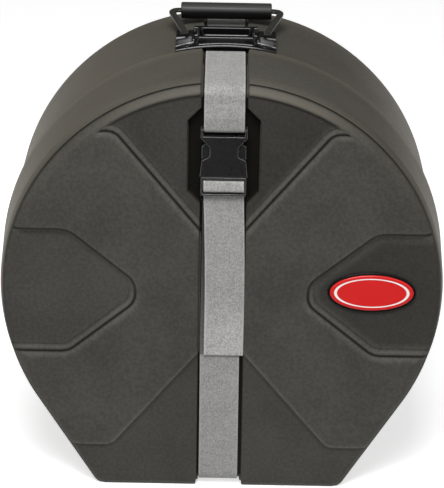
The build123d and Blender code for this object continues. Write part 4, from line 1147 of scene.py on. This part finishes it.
arm_offset, arm_slot, slot_front = 42.0, 3.8, 32.2


def rounded_box(x, y, low, high, radius):
    """Distance to a rounded rectangle between two corners, negative inside it."""
    over_x = np.abs(x - (low[0] + high[0]) / 2) - (high[0] - low[0]) / 2 + radius
    over_y = np.abs(y - (low[1] + high[1]) / 2) - (high[1] - low[1]) / 2 + radius
    return np.hypot(np.maximum(over_x, 0), np.maximum(over_y, 0)) + np.minimum(np.maximum(over_x, over_y), 0) - radius


def rounded_rise(within_edge, height, radius):
    """Height at a distance within an edge: a steep side, then a quarter round to the full height."""
    turn = np.clip(within_edge - steep_side, 0, radius)
    return (height - radius) * np.clip(within_edge / steep_side, 0, 1) + np.sqrt(radius ** 2 - (radius - turn) ** 2)


def base_top(x, depth):
    """Height of the handle base above the centre of the case: the flange that follows the case, the ears
    with a ledge and a hollow scoop, the slots for the arms, and the tray with its rounded rails."""
    across = np.abs(x)
    low = np.sqrt(seat ** 2 - x ** 2) + flange * eased(depth, [0, 0.8], [0.7, 1])
    outward_share = (across - ear_start) / (base_half - ear_start)
    ear_rise = ear_inner + (ear_outer - ear_inner) * outward_share - low
    ledge_at = ledge_front + ledge_slant * (1 - outward_share)
    scoop_end = scoop_near + (scoop_far - scoop_near) * eased(across, [ear_start + 1, 40.0], [0, 1])
    climb = np.clip((depth - ledge_at) / (scoop_end - ledge_at), 0, 1)
    lip = 1 - np.clip((depth - scoop_end) / lip_length, 0, 1)
    hollow = (1 - lip_share) * (1 - np.sqrt(1 - (hollow_turn * climb) ** 2)) / hollow_full + \
        lip_share * np.sqrt(1 - lip ** 2)
    ear = ledge_rise * eased(depth - ledge_at, [0, 1.3], [0, 1])
    ear = ear + (ear_rise - ledge_rise) * hollow
    edge = rounded_box(across, depth, (ear_start, -9), (base_half, base_long), ear_corner)
    ear = np.minimum(ear, rounded_rise(-edge, ear_cap, ear_round) + ear_round - ear_cap + ear_rise)
    slot = eased(np.abs(across - arm_offset), [arm_slot, arm_slot + slot_edge], [1, 0]) * \
        eased(depth, [slot_front, slot_front + slot_edge], [0, 1])
    ear = np.maximum(ear, -ear_sink) * (1 - slot) - slot_sink * slot
    tray = rounded_box(x, depth, (-tray_half, tray_front), (tray_half, tray_rear), tray_corner)
    behind = rounded_box(x, depth, (-tray_back_half, open_rear), (tray_back_half, tray_rear), back_corner)
    tray = np.minimum(tray, behind)
    opening = rounded_box(x, depth, (-open_half, open_front), (open_half, open_rear), open_corner)
    tray_height = rounded_rise(-tray, tray_top - low, rail_outer)
    turn = np.clip(rail_inner - opening, 0, rail_inner)
    fall = rail_inner - np.sqrt(rail_inner ** 2 - turn ** 2) + \
        (tray_top - tray_floor - rail_inner) * np.clip(-opening / steep_side, 0, 1)
    tray_height = np.where(tray < 0, tray_height - fall, 0)
    return low + np.where(across > ear_start, np.maximum(ear, tray_height), tray_height)


base_across = mirrored(spaced(0, (25.2, 2.6), (25.7, 0.1), (27.2, 0.25), (28.1, 0.3), (28.7, 0.1), (30.6, 0.9),
    (31.1, 0.25), (33.1, 0.13), (37.9, 0.8), (38.5, 0.15), (45.5, 1.4), (46.1, 0.15), (48.1, 0.6),
    (base_half, 0.2)))
base_depths = spaced(0, (0.9, 0.15), (3.7, 0.7), (4.2, 0.1), (6.2, 0.3), (6.8, 0.3), (8.3, 0.25), (8.8, 0.1),
    (9.4, 0.3), (16.0, 0.35), (25.0, 0.8), (31.9, 0.4), (32.7, 0.1), (37.6, 1.0), (38.1, 0.1), (40.0, 0.25),
    (42.4, 0.8), (44.3, 0.25), (44.7, 0.1), (base_long, 0.25))
base_x, base_d = np.meshgrid(base_across, base_depths)
top = np.stack([base_x, base_start + base_d, centre_height + base_top(base_x, base_d)], axis=2)
bottom = np.stack([base_x, base_start + base_d, centre_height + np.sqrt(seat ** 2 - base_x ** 2) - base_sunk],
                  axis=2)
base_grids = (np.concatenate([bottom[:1], top, bottom[-1:]]), np.stack([bottom[:, 0], top[:, 0]], axis=1),
              np.stack([bottom[:, -1], top[:, -1]], axis=1), bottom)
base_points = np.concatenate([grid.reshape(-1, 3) for grid in base_grids])
base_faces, start = [], 0
for grid in base_grids:
    base_faces += grid_faces(*grid.shape[:2], start).tolist()
    start += grid.shape[0] * grid.shape[1]
base_off, along_base = np.abs(base_points[:, 0]), base_points[:, 1] - base_start
# Painted glint: the ears' scoops paler where the light's reflection falls.
base_painted_glint = eased(base_off, [33.0, 35.5, 46.0, 48.5], [0, 0.9, 0.5, 0.2]) * \
    eased(along_base, [10.5, 12.5, 20.0, 26.0], [0, 0.8, 1, 0])
base_piece = welded(piece_from("handle_base_moulding", base_points, base_faces, handle_finish,
                                [("painted_glint", base_painted_glint)]))
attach(base_piece, "body")
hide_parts("handle_base")

# Bail and grip: a flat steel bail painted black, bent out to the ends of the grip and pinned in the
# ears, and a moulded grip of a harder, duller black, paler along its top by a painted highlight.
paint_finish = plastic_finish(
    "bail_paint", (0.022, 0.022, 0.020), (0.040, 0.040, 0.036), rough=(0.24, 0.34), pitted=0.06, shine=0.25)
grip_finish = plastic_finish(
    "grip_plastic", grey(0.001), grey(0.003), rough=(0.36, 0.44), pitted=0.06, shine=0.2,
    painted_glint_colour=(0.042, 0.042, 0.041))
pivot_y, pivot_z, bail_back, bail_up = 16.5, 218.6, 64.6, 9.4
bail_long = math.hypot(bail_back, bail_up)
bail_along = np.array([0, bail_back, bail_up]) / bail_long
bail_out = np.array([0, -bail_up, bail_back]) / bail_long
bail_path, bail_places = rounded_path(
    [(-arm_offset, -2.0), (-arm_offset, 13), (-57.2, bail_long), (57.2, bail_long), (arm_offset, 13),
     (arm_offset, -2.0)], (12, 6.5, 6.5, 12), 1.2)
bail_piece = swept("handle_bail_strip", bail_path, bail_places, rounded_bar(3.3, 1.5, 0.8, 9, 0.45)[:, ::-1],
                   (0, pivot_y, centre_height + pivot_z), ((1, 0, 0), bail_along, bail_out), paint_finish)
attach(bail_piece, "handle")
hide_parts("handle_bail")
grip_half, grip_thick, grip_deep, grip_end = 46.3, 7.9, 9.2, 1.6
grip_power, grip_painted_glint_span = 0.72, (1.2, 2.8)
grip_turn = np.linspace(0, 2 * math.pi, 49)[:-1]
grip_round = np.linspace(0, math.pi / 2, 6)
grip_oval = np.stack([squared(np.cos(grip_turn), grip_power) * grip_deep,
                      squared(np.sin(grip_turn), grip_power) * grip_thick], axis=1)
grip_tip = grip_half - grip_end + grip_end * np.cos(grip_round[::-1])
grip_scale = 1 - grip_end * (1 - np.sin(grip_round)) / grip_thick
grip_oval = grip_oval * np.concatenate([grip_scale, grip_scale[::-1]])[:, None, None]
grip_points = np.stack([np.broadcast_to(np.concatenate([-grip_tip[::-1], grip_tip])[:, None], grip_oval.shape[:2]),
                        pivot_y + bail_back + grip_oval[:, :, 0],
                        centre_height + pivot_z + bail_up + grip_oval[:, :, 1]], axis=2)
# The top of the grip is paler by a painted highlight.
grip_piece = welded(piece_from(
    "handle_grip_moulding", grip_points.reshape(-1, 3), loop_faces(*grip_oval.shape[:2]), grip_finish,
    [("painted_glint", eased(grip_oval[:, :, 1].reshape(-1), grip_painted_glint_span, [0, 1]))]))
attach(grip_piece, "handle")
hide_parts("handle_grip")

# Rivets, pivot pins and backing plates: turned and stamped steel, the rivets and pins blackened like
# the handle. The rivets go through the base and the shell into the plates inside.
black_finish = plastic_finish(
    "rivet_black", grey(0.008), (0.020, 0.020, 0.019), rough=(0.22, 0.34), pitted=0.05, shine=0.25)
carried(["handle_rivets"], black_finish, round_edge=0.3)
steel_tone = (0.30, 0.29, 0.28, 1)
steel_finish, steel_tree = node_tree("rivet_steel")
steel_noise = noise(steel_tree, object_place(steel_tree), 500.0, 4.0)
ended(steel_tree, "ShaderNodeBsdfPrincipled", {
    "Base Color": steel_tone, "Metallic": 1.0,
    "Roughness": ranged(steel_tree, steel_noise, (0.0, 1.0), (0.25, 0.45))})
carried(["handle_backing_plates"], steel_finish, round_edge=0.3)
carried(["handle_pivot_pins"], black_finish, round_edge=0.3)

bpy.context.view_layer.update()
